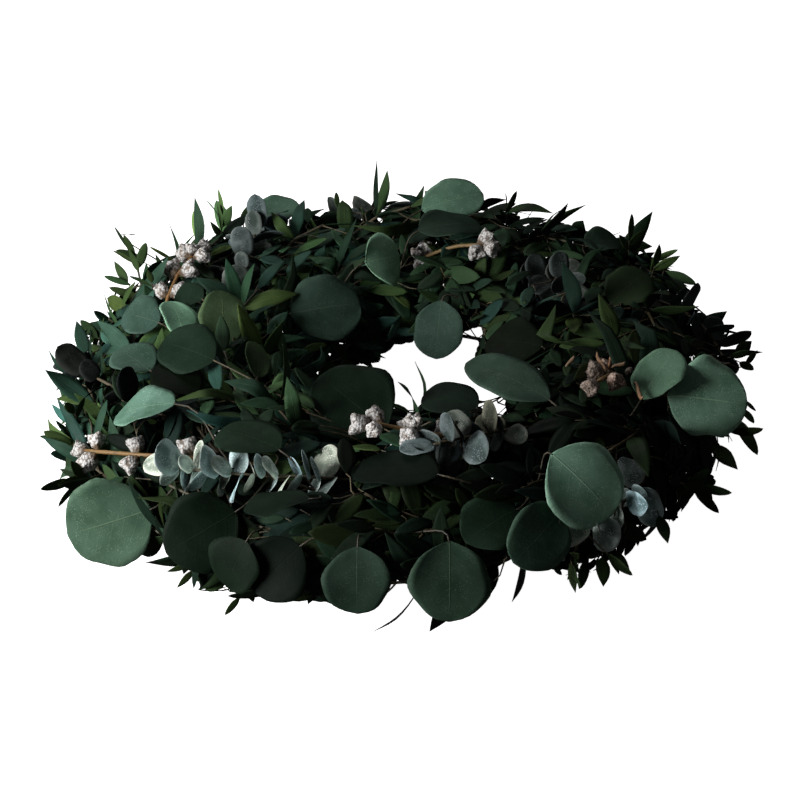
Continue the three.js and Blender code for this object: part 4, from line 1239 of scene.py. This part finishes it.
PAINT_GREEN, BARE_METAL = (0.012, 0.028, 0.016, 1), (0.10, 0.095, 0.085, 1)


def wire_material():
    """Dark green paint, worn off in small patches."""
    g = Graph("painted_wire")
    wear = g.noise(180.0, 6.0, 0.7)
    colour = g.mix(g.ramp(wear, 0.62, 0.68), PAINT_GREEN, BARE_METAL)
    g.shader.inputs["Metallic"].default_value = 0.3
    return g.finish(colour, g.plus(g.times(wear, 0.3), 0.3), wear, 0.3, 0.0004)


# Bloom and its share, roughness, vein and its share, width of the midrib, specks and frost.
skins = {
    ROUND: leaf_pair("round_leaf", (1.5, 1.4, 1.5, 1), 0.45, 0.5, (2.2, 1.8, 1.7, 1), 0.6, 0.010, 0.5),
    NARROW: leaf_pair("narrow_leaf", (1.4, 1.3, 1.4, 1), 0.4, 0.40, (1.9, 1.6, 1.4, 1), 0.5, 0.03, 0.25),
    BLUE: leaf_pair("blue_leaf", (1.9, 1.7, 1.75, 1), 0.7, 0.55, (1.3, 1.2, 1.1, 1), 0.4, 0.012, 1.0,
                    0.85),
}
gumnut_skin = gumnut_material()
green_bark = bark_material("green_stem_bark", (0.085, 0.062, 0.03, 1))
brown_bark = bark_material("brown_twig_bark", (0.21, 0.125, 0.045, 1))
for name, sheets in pieces.items():
    kind, number = name.rsplit("_", 1)
    if kind == GUMNUT:
        materials = [gumnut_skin, brown_bark, brown_bark]
    else:
        materials = [skins[kind][0], green_bark, skins[kind][1]]
    piece = sheets.build(f"{KINDS[kind].piece}_{number}", materials)
    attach(piece, "root")
    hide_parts(name)

# ---- the wire ring
RAIL_RADIUS = 1.6 * MM
RAIL_OFFSET = 11 * MM
RAIL_SIDES, RAIL_STEPS = 10, 144
# Bent strip of a clamp: width and thickness. The clamp: half its width, lowest and highest middle.
STRIP_WIDTH, STRIP_DEPTH = 6 * MM, 1.8 * MM
CLAMP_HALF, CLAMP_LOW, CLAMP_HIGH = 13.6 * MM, 3.5 * MM, 10.3 * MM
CLAMPS = 16
BEND_RADIUS = 1.6 * MM


def loop_faces(rows, sides):
    """Faces round a closed loop of `rows` rings of points."""
    faces = []
    for i, k in product(range(rows), range(sides)):
        n, m = (i + 1) % rows, (k + 1) % sides
        faces.append((i * sides + k, n * sides + k, n * sides + m, i * sides + m))
    return faces


ring = Sheets()
for offset in (-RAIL_OFFSET, RAIL_OFFSET):
    turns = np.linspace(0, 2 * pi, RAIL_STEPS + 1)[:-1]
    radius = RING_RADIUS + offset
    points, along = [], []
    for i, turn in enumerate(turns):
        for k in range(RAIL_SIDES):
            lap = 2 * pi * k / RAIL_SIDES
            reach = radius + RAIL_RADIUS * cos(lap)
            points.append((CENTRE.x + reach * cos(turn), CENTRE.y + reach * sin(turn),
                           RAIL_RADIUS * (1 + sin(lap))))
            along.append((i / 6, k / RAIL_SIDES))
    ring.add(points, loop_faces(RAIL_STEPS, RAIL_SIDES), along, (1, 1, 1))
for k in range(CLAMPS):
    turn = radians(22.5 * k)
    out = np.array([cos(turn), sin(turn), 0])
    way = np.array([-sin(turn), cos(turn), 0])
    middle = np.array([CENTRE.x, CENTRE.y, 0]) + out * RING_RADIUS
    half, low, high = CLAMP_HALF, CLAMP_LOW, CLAMP_HIGH
    path = []
    for corner, (x, z) in enumerate([(-half, low), (half, low), (half - MM, high), (-half + MM, high)]):
        heart = (x * 0.86, low + BEND_RADIUS if z == low else high - BEND_RADIUS)
        for step in range(5):
            lap = radians(180 + 90 * corner + 22.5 * step)
            path.append((heart[0] + BEND_RADIUS * cos(lap), heart[1] + BEND_RADIUS * sin(lap)))
    points, along = [], []
    for i, (x, z) in enumerate(path):
        inward = unit(np.array([-x, (low + high) / 2 - z])) * STRIP_DEPTH * 0.8
        for side, deep in ((-1, 0), (1, 0), (1, 1), (-1, 1)):
            px, pz = x + inward[0] * deep, z + inward[1] * deep
            points.append(middle + out * px + way * side * STRIP_WIDTH / 2 + np.array([0, 0, pz]))
            along.append((i / 4, side))
    ring.add(points, loop_faces(len(path), 4), along, (1, 1, 1))
wire = ring.build("wire_ring", [wire_material()])
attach(wire, "root")
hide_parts("clamp_ring")

# ---- floor, light and camera
FLOOR_HALF = 30.0
FLOOR_GLOW = 1.0
floor_mesh = bpy.data.meshes.new("floor")
corners = [(x * FLOOR_HALF, y * FLOOR_HALF, 0) for x, y in ((-1, -1), (1, -1), (1, 1), (-1, 1))]
floor_mesh.from_pydata(corners, [], [(0, 1, 2, 3)])
floor = bpy.data.objects.new("floor", floor_mesh)
bpy.context.scene.collection.objects.link(floor)
paper = Graph("pale_floor")
tint = paper.mix(paper.noise(3.0, 4.0), (0.86, 0.86, 0.855, 1), (0.90, 0.90, 0.895, 1))
paper.shader.inputs["Emission Color"].default_value = (1, 1, 1, 1)
paper.shader.inputs["Emission Strength"].default_value = FLOOR_GLOW
floor_mesh.materials.append(paper.finish(tint, 0.8, paper.noise(300.0), 0.05, 0.0005))
floor.visible_diffuse = False
floor.visible_glossy = False

scene = bpy.context.scene
scene.view_settings.view_transform = "Standard"


def lamp(name, position, aim, size, power):
    data = bpy.data.lights.new(name, "AREA")
    data.shape = "DISK"
    data.size = size
    data.energy = power
    light = bpy.data.objects.new(name, data)
    light.location = position
    way = Vector(aim) - Vector(position)
    light.rotation_euler = way.to_track_quat("-Z", "Y").to_euler()
    scene.collection.objects.link(light)


lamp("key_light", (-1.05, -0.55, 0.56), AIM, 0.6, 26)
lamp("fill_light", (-0.4, 1.3, 1.5), AIM, 1.2, 10)
world = bpy.data.worlds.new("studio")
world.use_nodes = True
world.node_tree.nodes["Background"].inputs[0].default_value = (1, 1, 1, 1)
world.node_tree.nodes["Background"].inputs[1].default_value = 0.055
scene.world = world

SENSOR = 36.0
camera_data = bpy.data.cameras.new("camera")
camera_data.sensor_width = SENSOR
camera_data.lens = SENSOR * FOCAL_PIXELS / FRAME_PIXELS
camera_data.shift_x = (FRAME_PIXELS / 2 - AIM_PIXEL[0]) / FRAME_PIXELS
camera_data.shift_y = (AIM_PIXEL[1] - FRAME_PIXELS / 2) / FRAME_PIXELS
camera = bpy.data.objects.new("camera", camera_data)
turned = Matrix((RIGHT, ABOVE, BACK)).transposed().to_4x4()
turned.translation = EYE
camera.matrix_world = turned
scene.collection.objects.link(camera)
scene.camera = camera
